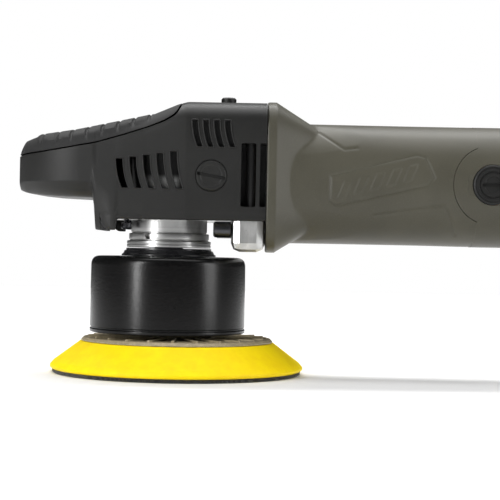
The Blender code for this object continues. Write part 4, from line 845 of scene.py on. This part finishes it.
# ---- Skirt and plate --------------------------------------------------------------------------------
def make_skirt():
    """Round skirt: rolled lower bead, round shoulder and an open inside."""
    low, high = limits("shroud")
    r, bottom, top = high[0], low[2], high[2]
    hole = 12.5
    profile = [(hole, top), (22.5, top), (23.0, top - 0.5), (28.6, top - 0.5), (29.2, top),
               (r - 0.5, top),
               (r - 0.1, bottom + 3.4), (r - 0.65, bottom + 3.0), (r - 0.65, bottom + 2.4),
               (r, bottom + 2.0),
               (r, bottom), (r - 2.6, bottom), (r - 2.9, top - 5.0), (r - 5.9, top - 2.4),
               (hole, top - 2.4),
               (hole, top)]
    radii = [0, 0.3, 0.3, 0.3, 0.3, 5.4, 0.3, 0.2, 0.2, 0.4, 0.8, 0.6, 2.0, 2.0, 0.4, 0]
    return lathe("skirt_turned", fillet(profile, radii, 10)[:-1], (0, 0, 0), "Z", 220, closed=True)


def make_neck_ring():
    """Polished ring that flares from a step under the collar to a foot on the skirt."""
    low, high = limits("neck_ring")
    r, bottom, top = high[0], low[2], high[2]
    profile = [(12.5, top), (25.4, top), (25.4, top - 1.2), (26.4, top - 1.5), (r - 0.4, bottom + 1.4),
               (r + 0.6, bottom + 0.9), (r + 0.6, bottom), (12.5, bottom), (12.5, top)]
    return lathe("neck_ring_turned", fillet(profile, [0, 0.5, 0.3, 0.5, 1.4, 0.4, 0.3, 0.4, 0], 6)[:-1],
                 (0, 0, 0),
                 "Z", 180, closed=True)


def make_collar():
    """Bright bearing collar: turned bands, fine grooves, a flange, screw and grub screw holes."""
    low, high = limits("bearing_collar")
    bottom, top, flange = low[2], high[2], high[0]
    under = top - 1.6
    profile = [(20.9, under + 0.4), (20.9, top), (flange, top), (flange, under), (23.2, under),
               (22.6, under - 0.6),
               (22.6, bottom + 9.4), (22.2, bottom + 9.2), (22.2, bottom + 8.7), (23.8, bottom + 8.4),
               (23.8, bottom + 5.0), (23.3, bottom + 4.8), (23.3, bottom + 4.4), (25.0, bottom + 4.0),
               (25.0, bottom + 2.3), (24.75, bottom + 2.15), (24.75, bottom + 1.85),
               (25.0, bottom + 1.7),
               (25.0, bottom), (12.5, bottom), (12.5, bottom + 6.4), (19.3, bottom + 6.4),
               (19.3, under + 0.4),
               (20.9, under + 0.4)]
    radii = [0, 0.2, 0.35, 0.25, 0.3, 0.2, 0.1, 0.1, 0.1, 0.4, 0.4, 0.1, 0.1, 0.4, 0.1, 0.08, 0.08, 0.1,
             0.6, 0.3,
             0.3, 0.3, 0.3, 0]
    collar = lathe("collar_turned", fillet(profile, radii, 4)[:-1], (0, 0, 0), "Z", 200, closed=True)
    holes = []
    for node in ("collar_screw_left", "collar_screw_right"):
        x, y = centre(node)[:2]
        holes.append(lathe("hole", ((0, top - 6), (1.8, top - 6), (1.8, top + 3), (0, top + 3)),
                           (x, y, 0), "Z", 24))
    angle = math.radians(-118.0)
    grub = lathe("hole", ((0, 0), (1.9, 0), (1.9, 6), (0, 6)), (0, 0, 0), "X", 32)
    turn = Matrix.Translation((20.6 * MM * math.cos(angle), 20.6 * MM * math.sin(angle),
                               (bottom + 6.8) * MM))
    grub.data.transform(turn @ Matrix.Rotation(angle, 4, "Z"))
    return carve(collar, "DIFFERENCE", *holes, grub)


USUAL_HEAD = 4.0                            # most that a plain screw head is tall


def screw(name, node, axis, toward, recess=True, tall=USUAL_HEAD):
    """Socket screw in place of a solid one: crowned head, shank with thread rings, hex socket."""
    low, high = limits(node)
    k = "XYZ".index(axis)
    middle = (low + high) / 2
    place = middle.copy()
    place[k] = 0.0
    radius = (high - low)[(k + 1) % 3] / 2
    head, end = (high[k], low[k]) if toward > 0 else (low[k], high[k])
    tall = min(tall, abs(end - head) * 0.72 if tall > USUAL_HEAD else radius * 1.05)
    shank = radius * 0.49
    thread = []
    count = max(2, int((abs(end - head) - tall - 0.8) / 0.9))
    for step in range(count):
        h = tall + 0.4 + step * 0.9
        thread += [(shank, h), (shank - 0.25, h + 0.45)]
    profile = [(0, 0.25), (radius - 0.9, 0.0), (radius, 0.8), (radius, tall)] + thread
    profile += [(shank - 0.25, abs(end - head) - 0.2), (shank - 0.4, abs(end - head)),
                (0, abs(end - head))]
    profile = np.array([(r, head - toward * h) for r, h in profile])
    item = lathe(name, profile, place, axis, 40)
    if recess:
        a = np.linspace(0, 2 * math.pi, 6, endpoint=False) + 0.2
        others = [c for i, c in enumerate(place) if i != k]
        hexagon = np.stack([others[0] + radius * 0.52 * np.cos(a),
                            others[1] + radius * 0.52 * np.sin(a)], -1)
        depth = sorted((head + toward, head - toward * tall * 0.62))
        carve(item, "DIFFERENCE", prism("socket", hexagon, *depth, axis=axis))
    return item


def make_foam():
    """Foam of the plate: rolled lower edge, sloping flank, flat top.

    Its flank swells by 0.25 sin^2 of the share of its height.
    """
    low, high = limits("plate_foam")
    r, bottom, top = (high[0] - low[0]) / 2, low[2], high[2]
    profile = [(0, top), (57.4, top), (r - 2.2, bottom + 4.6), (r, bottom + 2.2), (r, bottom + 0.9),
               (r - 1.2, bottom), (0, bottom)]
    profile = fillet(profile, (0, 1.6, 4.0, 1.2, 0.8, 0.8, 0), 10)
    flank = lambda a, radius, h: np.where(radius > 50,
                                          0.35 * np.sin(math.pi * np.clip((h - bottom) / (top - bottom),
                                                                                     0, 1)) ** 2, 0)
    return lathe("foam_turned", profile, (PLATE_X, 0, 0), "Z", 240, wave=flank)


def make_disc():
    """Stiff disc with a rolled rim, radial ribs on its top, a hub and the threaded stud."""
    low, high = limits("plate_disc")
    r, bottom, stud_top = (high[0] - low[0]) / 2, low[2], high[2]
    top = limits("shroud")[0][2] - 3.2
    profile = [(0, stud_top), (3.0, stud_top), (3.7, stud_top - 0.7)]
    for step in range(15):
        h = stud_top - 1.2 - step * 1.0
        profile += [(3.7, h), (3.2, h - 0.5)]
    profile += [(3.7, top + 1.2), (15.0, top + 1.2), (17.2, top), (r - 1.4, top), (r, bottom + 0.5),
                (r, bottom),
                (0, bottom)]
    disc = lathe("disc_turned", profile, (PLATE_X, 0, 0), "Z", 160)
    bars = []
    for k in range(24):
        angle = 2 * math.pi * k / 24
        bar = prism("rib", ((22, -0.8), (r - 4, -0.8), (r - 4, 0.8), (22, 0.8)), top - 0.4, top + 0.9,
                    "Z")
        bar.data.transform(Matrix.Translation((PLATE_X * MM, 0, 0)) @ Matrix.Rotation(angle, 4, "Z"))
        bars.append(bar)
    return merge("plate_disc_ribbed", [disc] + bars)


def make_hook_face():
    """Gripping face with a soft edge and rings of shallow waves under it."""
    low, high = limits("hook_face")
    r, top = (high[0] - low[0]) / 2, high[2]
    profile = [(0, top), (r - 0.4, top), (r, top - 0.5), (r, 0.6), (r - 0.6, 0.06)]
    rings = np.linspace(r - 1.2, 0, 120)
    profile += [(x, 0.05 + 0.05 * math.cos(x * 4.8)) for x in rings]
    return lathe("hook_face_turned", profile, (PLATE_X, 0, 0), "Z", 180)


class POLISHER_OT_skirt(bpy.types.Operator):
    """Skirt, neck ring, bearing collar and the screws under the gear case"""
    bl_idname = "polisher.skirt"
    bl_label = "Skirt and collar"

    def execute(self, context):
        for make, slot, node in ((make_skirt, "shroud_plastic", "shroud"),
                                 (make_neck_ring, "gloss_ring", "neck_ring"),
                                 (make_collar, "turned_metal", "bearing_collar")):
            place_piece(make(), "housing", FINISHES[slot], slot, node)
        for node in ("collar_screw_left", "collar_screw_right"):
            place_piece(screw(node + "_socket", node, "Z", -1), "housing", FINISHES["dark_steel"],
                        "dark_steel", node)
        return {"FINISHED"}


class POLISHER_OT_plate(bpy.types.Operator):
    """Gripping face, foam and stiff disc of the backing plate"""
    bl_idname = "polisher.plate"
    bl_label = "Backing plate"

    def execute(self, context):
        for make, slot, node in ((make_foam, "foam", "plate_foam"),
                                 (make_disc, "disc_plastic", "plate_disc"),
                                 (make_hook_face, "hooks", "hook_face")):
            place_piece(make(), "plate", FINISHES[slot], slot, node)
        return {"FINISHED"}


# ---- Motor housing ----------------------------------------------------------------------------------
BELL_FRONT, BELL_END, SEAM_X = 57.6, 62.6, 179.6
TUBE_RADIUS, BORE = 35.5, 31.0
LOWER_HEAD = 10.0                           # height of the two lower flange screws' heads
PANEL = ((94.0, 3.5), (144.0, 16.5), (149.0, 15.0), (154.0, 3.5), (150.0, -1.0), (98.0, -13.6),
         (94.0, -11.0))
CREASES = (((87.5, 29.0), (102.0, 19.0), (109.5, 20.0)),
           ((120.0, -19.0), (160.0, -12.4), (168.0, -29.0)))


def distance_to(path, x, z, closed=False):
    """Shortest distance from points to a polyline: each segment is clamped, and the least is kept."""
    path = np.asarray(path, float)
    ends = np.roll(path, -1, 0) if closed else path[1:]
    best = np.full(x.shape, 1e9)
    for (ax, az), (bx, bz) in zip(path, ends):
        dx, dz = bx - ax, bz - az
        t = np.clip(((x - ax) * dx + (z - az) * dz) / (dx * dx + dz * dz), 0, 1)
        best = np.minimum(best, np.hypot(x - ax - t * dx, z - az - t * dz))
    return best


def make_motor_shell():
    """Motor housing: the larger of a bell that narrows by 0.66 a millimetre and a squarish tube.

    Section radius: (|cos a / w|^p + |sin a / h|^p)^(-1/p); a groove of exp(-(d / 0.6)^2) follows the
    panel outline and the creases, and slanted bars stand up inside the panel.
    """
    size = sizes()
    x = np.concatenate([[BELL_FRONT, BELL_FRONT + 0.25, BELL_FRONT + 0.8], np.arange(58.9, 86.0, 0.6),
                        np.arange(86.2, 170.5, 0.55), np.linspace(171.0, SEAM_X, 12)])[:, None]
    flank = np.concatenate([np.linspace(-0.66, 0.98, 92), np.linspace(1.0, math.pi - 1.0, 44),
                            math.pi - np.linspace(0.98, -0.66, 92),
                            math.pi + np.linspace(0.68, math.pi - 0.68, 58)])
    a = flank[None, :]
    c, s = np.abs(np.cos(a)), np.abs(np.sin(a))
    up = np.where(np.sin(a) > 0, 47.0, 41.4)
    bell = ((c / 41.0) ** 4.3 + (s / up) ** 4.3) ** (-1 / 4.3)
    bell = bell - 0.66 * np.maximum(0, x - BELL_END) - 0.5 * (1 - smooth(BELL_FRONT - 0.5,
                                                                         BELL_FRONT + 0.9, x))
    blend = smooth(66, 150, x)
    p = 2.55 - 0.45 * blend
    tube_part = TUBE_RADIUS * (c ** p + s ** p) ** (-1 / p)
    tube_part = np.minimum(tube_part, TUBE_RADIUS + 1.6) + 0.25 * smooth(140, 179,
                                                                         x) * (np.sin(a) < 0) * s
    r = np.maximum(bell, tube_part) + 0.18 * np.exp(-((bell - tube_part) / 0.8) ** 2)
    z = r * np.sin(a)
    sideways = smooth(0.35, 0.55, c)
    groove = np.exp(-(distance_to(PANEL, x + 0 * z, z, True) / 0.62) ** 2)
    for crease in CREASES:
        groove = np.maximum(groove, 0.9 * np.exp(-(distance_to(crease, x + 0 * z, z) / 0.75) ** 2))
    rise = z - (1.6 + 0.26 * (x - 124))
    phase = np.mod((x - 0.42 * z - 100.0) / 8.4, 1.0) * 8.4
    inside = smooth(101.5, 102.3, x - 0.42 * z) * (1 - smooth(142.7, 143.5, x - 0.42 * z))
    bars = smooth(1.4, 2.0,
                  phase) * (1 - smooth(6.0, 6.6, phase)) * (1 - smooth(4.0, 4.6, np.abs(rise))) * inside
    r = r - sideways * (size.panel_depth * groove - 0.45 * bars)
    outer = np.stack([x + 0 * r, r * np.cos(a), r * np.sin(a) + MOTOR_Z], -1)
    ends = np.array([SEAM_X, BELL_FRONT])[:, None]
    bore = np.stack([ends + 0 * a, BORE * np.cos(a) + 0 * ends, BORE * np.sin(a) + MOTOR_Z + 0 * ends],
                    -1)
    shell = skin("motor_shell", np.concatenate([outer, bore]), wrap_rows=True)
    seat = centre("brush_cap_left")
    lobe = lathe("lobe", ((0, -70), (23.0, -70), (23.0, 70), (0, 70)), (seat[0], 0, seat[2]), "Y", 160)
    tools = [lobe]
    for node in ("flange_screw_upper_left", "flange_screw_upper_right", "flange_screw_lower_left",
                 "flange_screw_lower_right"):
        place = centre(node)
        tools.append(lathe("hole", ((0, 40), (2.3, 40), (2.3, 63), (0, 63)), (0, place[1], place[2]),
                           "X", 24))
    return carve(shell, "DIFFERENCE", *tools)


class POLISHER_OT_housing(bpy.types.Operator):
    """Motor housing shell and the four screws of its bell"""
    bl_idname = "polisher.housing"
    bl_label = "Motor housing"

    def execute(self, context):
        place_piece(make_motor_shell(), "housing", FINISHES["olive_plastic"], "olive_plastic",
                    "motor_housing")
        for node in sorted(SLOTS):
            if node.startswith("flange_screw"):
                tall = LOWER_HEAD if "lower" in node else USUAL_HEAD
                place_piece(screw(node + "_socket", node, "X", -1, tall=tall), "housing",
                            FINISHES["dark_steel"],
                            "dark_steel", node)
        return {"FINISHED"}


# ---- Handle -----------------------------------------------------------------------------------------
HANDLE = ((160.0, 35.5, 35.9, 35.5, 34.0), (203.0, 35.5, 35.9, 35.5, 34.0),
          (216.0, 33.5, 33.5, 34.5, 32.0),
          (229.0, 27.5, 26.5, 28.5, 26.0), (242.0, 23.3, 22.6, 24.0, 20.0),
          (262.0, 21.8, 21.8, 22.6, 18.5),
          (294.0, 21.2, 21.8, 22.2, 18.0), (325.0, 22.2, 23.6, 23.6, 18.5),
          (345.0, 22.0, 23.6, 23.0, 18.5))
# The handle's sections are rows of x, half width, below, above, corner radius.
HANDLE_END, HANDLE_WALL = 350.0, 2.6
REAR_SCREWS = (("handle_screw_front", 27.4), ("handle_screw_rear", 19.0))


def handle_surface(x, inset=0.0):
    """Sections of the handle, or of its hollow: smooth round-cornered rectangles with a domed end.

    At the end every size falls by 6 (1 - sqrt(1 - t^2)). Outside, ridges of 0.35 sin^2 run across the grip's
    back and flanks.
    """
    table = np.asarray(HANDLE)
    half, low, high, radius = (line(table[:, [0, k]], x, 5.0) for k in range(1, 5))
    t = np.clip((x - (HANDLE_END - 6.5 - inset)) / 6.5, 0, 1)
    fall = 6.0 * (1 - np.sqrt(np.maximum(0, 1 - t * t * 0.97))) + inset
    half, low, high = half - fall, low - fall, high - fall
    y, z = rounded_box_ring(half, -low, high, (radius - inset, radius - inset), 22, (9, 9))
    if not inset:
        column = x[:, None]
        grip = smooth(240, 246, column) * (1 - smooth(310, 316, column)) * smooth(-8, 0, z)
        lift = -0.5 * grip * np.sin(math.pi * (column - 240) / 4.6) ** 8
        length = np.hypot(y, z)
        y, z = y + lift * y / length, z + lift * z / length
    return np.stack([x[:, None] + 0 * y, y, z + MOTOR_Z], -1)


def rounded_slot(x_low, x_high, z_low, z_high, radius):
    """Outline of a rectangle with round corners in X and Z."""
    middle = ((x_low + x_high) / 2, z_low)
    corners = (middle, (x_high, z_low), (x_high, z_high), (x_low, z_high), (x_low, z_low), middle)
    return fillet(corners, (0, radius, radius, radius, radius, 0), 5)[:-1] + (0, MOTOR_Z)


def make_handle_half(name, side):
    """One half shell: skin less hollow, seam, cap seat, air slots, trigger, dial and screw holes."""
    x = np.concatenate([np.arange(150.0, 240.0, 1.5), np.arange(240.0, 316.0, 0.46),
                        np.arange(316.5, 343.0, 1.5),
                        HANDLE_END - 6.5 * np.cos(np.linspace(0, math.pi / 2, 12))])
    shell = skin(name, handle_surface(x), cap=True)
    inner_x = np.concatenate([np.linspace(145.0, 340.0, 60), np.linspace(341.0, HANDLE_END - 3.7, 6)])
    hollow = skin("hollow", handle_surface(inner_x, HANDLE_WALL), cap=True)
    carve(shell, "DIFFERENCE", hollow)
    bosses = []
    for node, reach in REAR_SCREWS:
        place = centre(node)
        depth = sorted((0.0, side * reach))
        profile = ((0, depth[0]), (4.2, depth[0]), (4.2, depth[1]), (0, depth[1]))
        bosses.append(lathe("boss", profile, (place[0], 0, place[2]), "Y", 40))
    pivot = JOINTS["trigger_pull"]["pos_m"]
    px, pz = pivot[0] / MM, pivot[2] / MM
    for boss in bosses:
        carve(shell, "UNION", boss)
    lug = prism("lug", ((px - 3.5, pz - 2.6), (px + 3.5, pz - 2.6), (px + 3.5, pz + 4.0),
                        (px - 3.5, pz + 4.0)),
                *sorted((side * 9.0, side * 12.4)))
    shell_far = prism("far", ((100, -50), (500, -50), (500, 300), (100, 300)),
                      *sorted((-side * 90.0, side * 0.15)))
    seat = centre("brush_cap_left")
    rear_z = np.linspace(-21.2, 21.2, 60)
    edge = seat[0] - np.sqrt(22.7 ** 2 - rear_z ** 2)
    front = np.vstack([[100, -60], [SEAM_X + 0.3, -60], np.stack([edge, rear_z], -1),
                       [SEAM_X + 0.3, 60],
                       [100, 60]])
    cutters = [shell_far, prism("front", front + (0, MOTOR_Z), -95, 95),
               lathe("seat", fillet(((0, 20), (11.8, 20), (11.8, 35.2), (14.6, 35.2), (15.6, 50),
                                     (0, 50)), 0.3, 3)
                     * (1, side), (seat[0], 0, seat[2]), "Y", 96)]
    slots = []
    for k in range(3):
        start = 194.5 + 1.6 * k
        for z in (21.6 + 3.4 * k, -19.0 - 3.4 * k):
            slots.append(prism("slot", rounded_slot(start, start + 17 - 3 * k, z - 0.95, z + 0.95, 0.8),
                               *sorted((side * 9.0, side * 60.0))))
    cutters.append(merge("slots", slots))
    trigger_high = limits("trigger")[1]
    width = trigger_high[1] + 0.5
    cutters.append(prism("trigger_slot",
                         ((241, 74), (314, 74), (314, MOTOR_Z - 12), (241, MOTOR_Z - 12)),
                         -width, width))
    dial = centre("speed_dial")
    cutters.append(prism("dial_slot", ((dial[0] - 10.5, dial[2]), (dial[0] + 10.5, dial[2]),
                                       (dial[0] + 10.5, dial[2] + 25), (dial[0] - 10.5, dial[2] + 25)),
                         -3.7, 3.7))
    cutters.append(lathe("pin_hole", ((0, -11.7), (1.8, -11.7), (1.8, 11.7), (0, 11.7)), (px, 0, pz),
                         "Y", 24))
    cutters.append(lathe("gland_hole", ((0, 340), (6.5, 340), (6.5, 360), (0, 360)), (0, 0, MOTOR_Z),
                         "X", 60))
    if side < 0:
        button = centre("lock_on_button")
        cutters.append(lathe("button_hole",
                             ((0, -30), (6.2, -30), (5.1, -21.2), (5.1, -15.5), (0, -15.5)),
                             (button[0], 0, button[2]), "Y", 60))
    for node, reach in REAR_SCREWS:
        place = centre(node)
        depth = reach - 6.0 if side < 0 else 13.0
        profile = ((0, -0.5), (1.8, -0.5), (1.8, depth), (0, depth)) if side > 0 else \
            ((0, -60), (3.9, -60), (3.4, -depth - 4), (3.4, -depth), (1.8, -depth), (1.8, 1), (0, 1))
        cutters.append(lathe("screw_hole", profile, (place[0], 0, place[2]), "Y", 40))
    carve(shell, "UNION", lug)
    for cutter in cutters:
        carve(shell, "DIFFERENCE", cutter)
    return shell


def make_brush_cap(name):
    """Brush cap: stepped rings, a shallow dish and a screwdriver slot."""
    low, high = limits(name)
    side = -1 if low[1] < 0 else 1
    face, under = (high[1], low[1]) if side > 0 else (-low[1], -high[1])
    profile = [(0, face - 1.2), (4.4, face - 1.2), (5.0, face - 0.4), (6.9, face - 0.4),
               (7.2, face - 1.0),
               (7.9, face - 1.0), (8.2, face - 0.1), (9.6, face - 0.1), (9.8, face - 0.5),
               (10.1, face - 0.5),
               (10.3, face), (11.5, face - 0.8), (11.5, under), (0, under)]
    profile = fillet(profile, [0] + [0.22] * 10 + [0.5, 0.3, 0], 4) * (1, side)
    middle = centre(name)
    cap = lathe(name + "_turned", profile, (middle[0], 0, middle[2]), "Y", 128)
    corners = np.array([(-6.2, -1.0), (6.2, -1.0), (6.2, 1.0), (-6.2, 1.0)]) + (middle[0], middle[2])
    return carve(cap, "DIFFERENCE",
                 prism("slot", corners, *sorted((side * (face - 2.4), side * (face + 2)))))


def make_gland():
    """Cord gland: flange, then flexible rings that narrow towards the end, around an open bore."""
    low, high = limits("cord_gland")
    start, end = HANDLE_END, high[0]
    profile = [(4.3, low[0]), (9.0, low[0]), (9.0, low[0] + 3.2), (6.2, low[0] + 3.2),
               (6.2, start + 0.3),
               (9.6, start + 0.3), (9.6, start + 3.0)]
    for k in range(7):
        h = start + 4.0 + k * 4.3
        r = 9.3 - 0.43 * k
        profile += [(r - 1.5, h), (r - 1.5, h + 1.0), (r, h + 1.4), (r - 0.2, h + 3.9)]
    profile += [(6.2, end - 0.7), (5.6, end), (4.9, end), (4.3, end - 0.8), (4.3, low[0])]
    radii = [0, 0.3, 0.3, 0.3, 0.2, 0.6, 0.5] + [0.3, 0.3, 0.4, 0.4] * 7 + [0.3, 0.3, 0.3, 0.3, 0]
    return lathe("gland_turned", fillet(profile, radii, 3)[:-1], (0, 0, MOTOR_Z), "X", 72, closed=True)


class POLISHER_OT_handle(bpy.types.Operator):
    """Handle half shells, brush caps, handle screws and cord gland"""
    bl_idname = "polisher.handle"
    bl_label = "Handle"

    def execute(self, context):
        for node, side in (("handle_left", -1), ("handle_right", 1)):
            place_piece(make_handle_half(node + "_shell", side), "housing", FINISHES["olive_plastic"],
                        "olive_plastic", node)
        for node in ("brush_cap_left", "brush_cap_right"):
            place_piece(make_brush_cap(node), "housing", FINISHES["black_plastic"], "black_plastic",
                        node)
        for node, _ in REAR_SCREWS:
            place_piece(screw(node + "_socket", node, "Y", -1), "housing", FINISHES["dark_steel"],
                        "dark_steel", node)
        place_piece(make_gland(), "housing", FINISHES["black_plastic"], "black_plastic", "cord_gland")
        return {"FINISHED"}


# ---- Controls ---------------------------------------------------------------------------------------
def make_trigger():
    """Trigger: rounded bar with finger ridges under it, -0.35 cos(2 pi x / 5), bored for its pin."""
    low, high = limits("trigger")
    x = np.concatenate([low[0] + 2.0 * (1 - np.cos(np.linspace(0, math.pi / 2, 6))),
                        np.arange(245.5, 309.5, 0.6),
                        high[0] - 2.2 * (1 - np.sin(np.linspace(0, math.pi / 2, 7)))])
    under = line(((243, -24.0), (253, -27.3), (279, -29.3), (304, -28.3), (312, -25.0)), x, 2.5)
    over = line(((243, -15.0), (248, -13.6), (250, -14.2), (253, -16.0), (312, -18.0)), x, 0.8)
    grip = smooth(254, 257, x) * (1 - smooth(302, 305, x))
    under = under + 0.4 * grip * np.sin(math.pi * x / 5.0) ** 2
    ends = np.minimum(smooth(low[0] - 1.5, low[0] + 2.0, x), smooth(high[0] + 1.5, high[0] - 2.0, x))
    half = high[1] - 1.6 * (1 - ends)
    y, z = rounded_box_ring(half, under + 0.8 * (1 - ends), over, (0.8 + 0 * x, 3.4 + 0 * x), 8,
                            (6, 12))
    bar = skin("trigger_bar", np.stack([x[:, None] + 0 * y, y, z + MOTOR_Z], -1), cap=True)
    pivot = JOINTS["trigger_pull"]["pos_m"]
    pin = lathe("bore", ((0, -20), (1.9, -20), (1.9, 20), (0, 20)), (pivot[0] / MM, 0, pivot[2] / MM),
                "Y", 32)
    return carve(bar, "DIFFERENCE", pin)


def make_dial():
    """Speed dial: a wheel with a knurled rim, 0.35 cos 36 a, thin hubs and dished faces."""
    low, high = limits("speed_dial")
    r = (high[0] - low[0]) / 2
    profile = [(0, -6), (2, -6), (2, -2.6), (3.0, -2.2), (r - 2.6, -2.2), (r - 2.0, -3), (r - 0.6, -3),
               (r - 0.35, -2.5),
               (r - 0.35, 2.5), (r - 0.6, 3), (r - 2.0, 3), (r - 2.6, 2.2), (3.0, 2.2), (2, 2.6),
               (2, 6), (0, 6)]
    middle = centre("speed_dial")
    knurl = lambda a, radius, h: np.where(radius > r - 1.5, 0.34 * np.cos(36 * a), 0)
    return lathe("dial_knurled", profile, (middle[0], 0, middle[2]), "Y", 288, wave=knurl)


def make_lock_on():
    """Lock-on button: dished cap with a rounded edge and its inner flange."""
    low, high = limits("lock_on_button")
    profile = [(0, low[1] + 0.5), (2.4, low[1] + 0.35), (3.4, low[1]), (4.6, low[1] + 0.8),
               (4.6, high[1] - 1.8),
               (6.2, high[1] - 1.8), (6.2, high[1]), (0, high[1])]
    middle = centre("lock_on_button")
    return lathe("lock_on_turned", fillet(profile, (0, 0.5, 0.5, 0.6, 0.2, 0.3, 0.3, 0), 5),
                 (middle[0], 0, middle[2]),
                 "Y", 72)


class POLISHER_OT_controls(bpy.types.Operator):
    """Trigger with its spring, lock-on button and speed dial"""
    bl_idname = "polisher.controls"
    bl_label = "Controls"

    def execute(self, context):
        black = FINISHES["black_plastic"]
        place_piece(make_trigger(), "trigger", black, "black_plastic", "trigger")
        place_piece(make_dial(), "dial", black, "black_plastic", "speed_dial")
        place_piece(make_lock_on(), "lock_on", black, "black_plastic", "lock_on_button")
        coil = spring("trigger_coil", "trigger_spring", 4, 0.45)
        place_piece(coil, "housing", FINISHES["turned_metal"], SLOTS["trigger_spring"],
                    "trigger_spring")
        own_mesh(coil)
        return {"FINISHED"}


# ---- Interior ---------------------------------------------------------------------------------------
class POLISHER_OT_interior(bpy.types.Operator):
    """Finishes for the solids that are shown as they are"""
    bl_idname = "polisher.interior"
    bl_label = "Interior"

    def execute(self, context):
        for node, item in frame["nodes"].items():
            item.data.materials.clear()
            item.data.materials.append(FINISHES[SLOTS[node]])
        return {"FINISHED"}


# ---- Stage ------------------------------------------------------------------------------------------
def floor_material():
    """Pale paper floor with faint fibres."""
    m = Maker("paper_sweep", 0.8)
    fibres = m.noise(2.5, 5.0, 0.6)
    m.feed("Base Color", m.mix(fibres, (0.86, 0.86, 0.86), (0.93, 0.93, 0.93)))
    m.feed("Normal", m.bump(fibres, 0.2, 0.05))
    return m.material


def soft_light(name, place, target, width, height, power, colour=(1.0, 1.0, 1.0)):
    """Rectangular area light that faces a point; places and sizes in metres."""
    light = bpy.data.lights.new(name, "AREA")
    light.shape = "RECTANGLE"
    light.size, light.size_y, light.energy, light.color = width, height, power, colour
    item = bpy.data.objects.new(name, light)
    item.location = place
    item.rotation_euler = (Vector(target) - Vector(place)).to_track_quat("-Z", "Y").to_euler()
    bpy.context.scene.collection.objects.link(item)
    return item


class POLISHER_OT_stage(bpy.types.Operator):
    """Pale floor, soft lights, world and camera"""
    bl_idname = "polisher.stage"
    bl_label = "Stage"

    def execute(self, context):
        x, y = np.linspace(-3500, 3500, 9), np.linspace(-3500, 1700, 9)
        x, y = np.meshgrid(x, y)
        points = np.stack([x, y, 0 * x], -1)
        rows, columns = points.shape[:2]
        index = np.arange(rows * columns).reshape(rows, columns)
        faces = np.stack([index[:-1, :-1], index[:-1, 1:], index[1:, 1:], index[1:, :-1]],
                         -1).reshape(-1, 4)
        sweep = finish_mesh("sweep", points, faces.tolist())
        sweep.data.materials.append(floor_material())
        if sweep.data.polygons[0].normal.z < 0:
            sweep.data.flip_normals()
        middle = (0.09, 0.0, 0.09)
        soft_light("tall_left", (-0.74, -0.80, 0.28), middle, 0.12, 1.0, 14.0)
        soft_light("over", (0.10, -0.10, 1.0), middle, 1.0, 0.45, 5.0)
        soft_light("right", (1.0, -0.42, 0.30), middle, 0.35, 0.7, 6.5)
        soft_light("backdrop", (0.0, 0.75, 1.6), (0.0, 1.3, 0.3), 2.2, 0.6, 60.0)
        world = bpy.data.worlds.new("studio")
        world.use_nodes = True
        tree = world.node_tree
        glow = tree.nodes["Background"]
        glow.inputs["Color"].default_value = (0.93, 0.96, 1.0, 1.0)
        glow.inputs["Strength"].default_value = 0.05
        backdrop = tree.nodes.new("ShaderNodeBackground")
        backdrop.inputs["Color"].default_value = (1.0, 1.0, 1.0, 1.0)
        seen, either = tree.nodes.new("ShaderNodeLightPath"), tree.nodes.new("ShaderNodeMixShader")
        tree.links.new(seen.outputs["Is Camera Ray"], either.inputs[0])
        tree.links.new(glow.outputs[0], either.inputs[1])
        tree.links.new(backdrop.outputs[0], either.inputs[2])
        tree.links.new(either.outputs[0], tree.nodes["World Output"].inputs["Surface"])
        context.scene.world = world
        context.scene.view_settings.view_transform = "Standard"
        camera = bpy.data.cameras.new("camera")
        camera.lens, camera.sensor_width = 102.2, 36.0
        item = bpy.data.objects.new("camera", camera)
        roll = math.radians(1.1)
        right, up = Vector((math.cos(roll), 0, math.sin(roll))), Vector((-math.sin(roll), 0,
                                                                         math.cos(roll)))
        turn = Matrix((right, up, right.cross(up))).transposed().to_4x4()
        item.matrix_world = Matrix.Translation((0.0486, -0.850, 0.074)) @ turn
        context.scene.collection.objects.link(item)
        context.scene.camera = item
        return {"FINISHED"}


# ---- Add-on -----------------------------------------------------------------------------------------
STEPS = (POLISHER_OT_interior, POLISHER_OT_head, POLISHER_OT_skirt, POLISHER_OT_plate,
         POLISHER_OT_housing,
         POLISHER_OT_handle, POLISHER_OT_controls, POLISHER_OT_stage)


class VIEW3D_PT_polisher(bpy.types.Panel):
    """Sizes, colours and building steps"""
    bl_label = "Polisher"
    bl_idname = "VIEW3D_PT_polisher"
    bl_space_type = "VIEW_3D"
    bl_region_type = "UI"
    bl_category = "Polisher"

    def draw(self, context):
        for settings in (context.scene.polisher_sizes, context.scene.polisher_colours):
            column = self.layout.column(align=True)
            for name in settings.__annotations__:
                column.prop(settings, name)
        for step in STEPS:
            self.layout.operator(step.bl_idname)


CLASSES = (PolisherSizes, PolisherColours, VIEW3D_PT_polisher, *STEPS)


def register():
    """Add the classes and the two groups of settings."""
    for cls in CLASSES:
        bpy.utils.register_class(cls)
    bpy.types.Scene.polisher_sizes = PointerProperty(type=PolisherSizes)
    bpy.types.Scene.polisher_colours = PointerProperty(type=PolisherColours)


def unregister():
    """Remove what register added."""
    del bpy.types.Scene.polisher_colours
    del bpy.types.Scene.polisher_sizes
    for cls in reversed(CLASSES):
        bpy.utils.unregister_class(cls)


def main():
    """Build everything in order."""
    register()
    make_finishes()
    for step in STEPS:
        area, name = step.bl_idname.split(".")
        getattr(getattr(bpy.ops, area), name)()


if __name__ == "__main__":
    main()
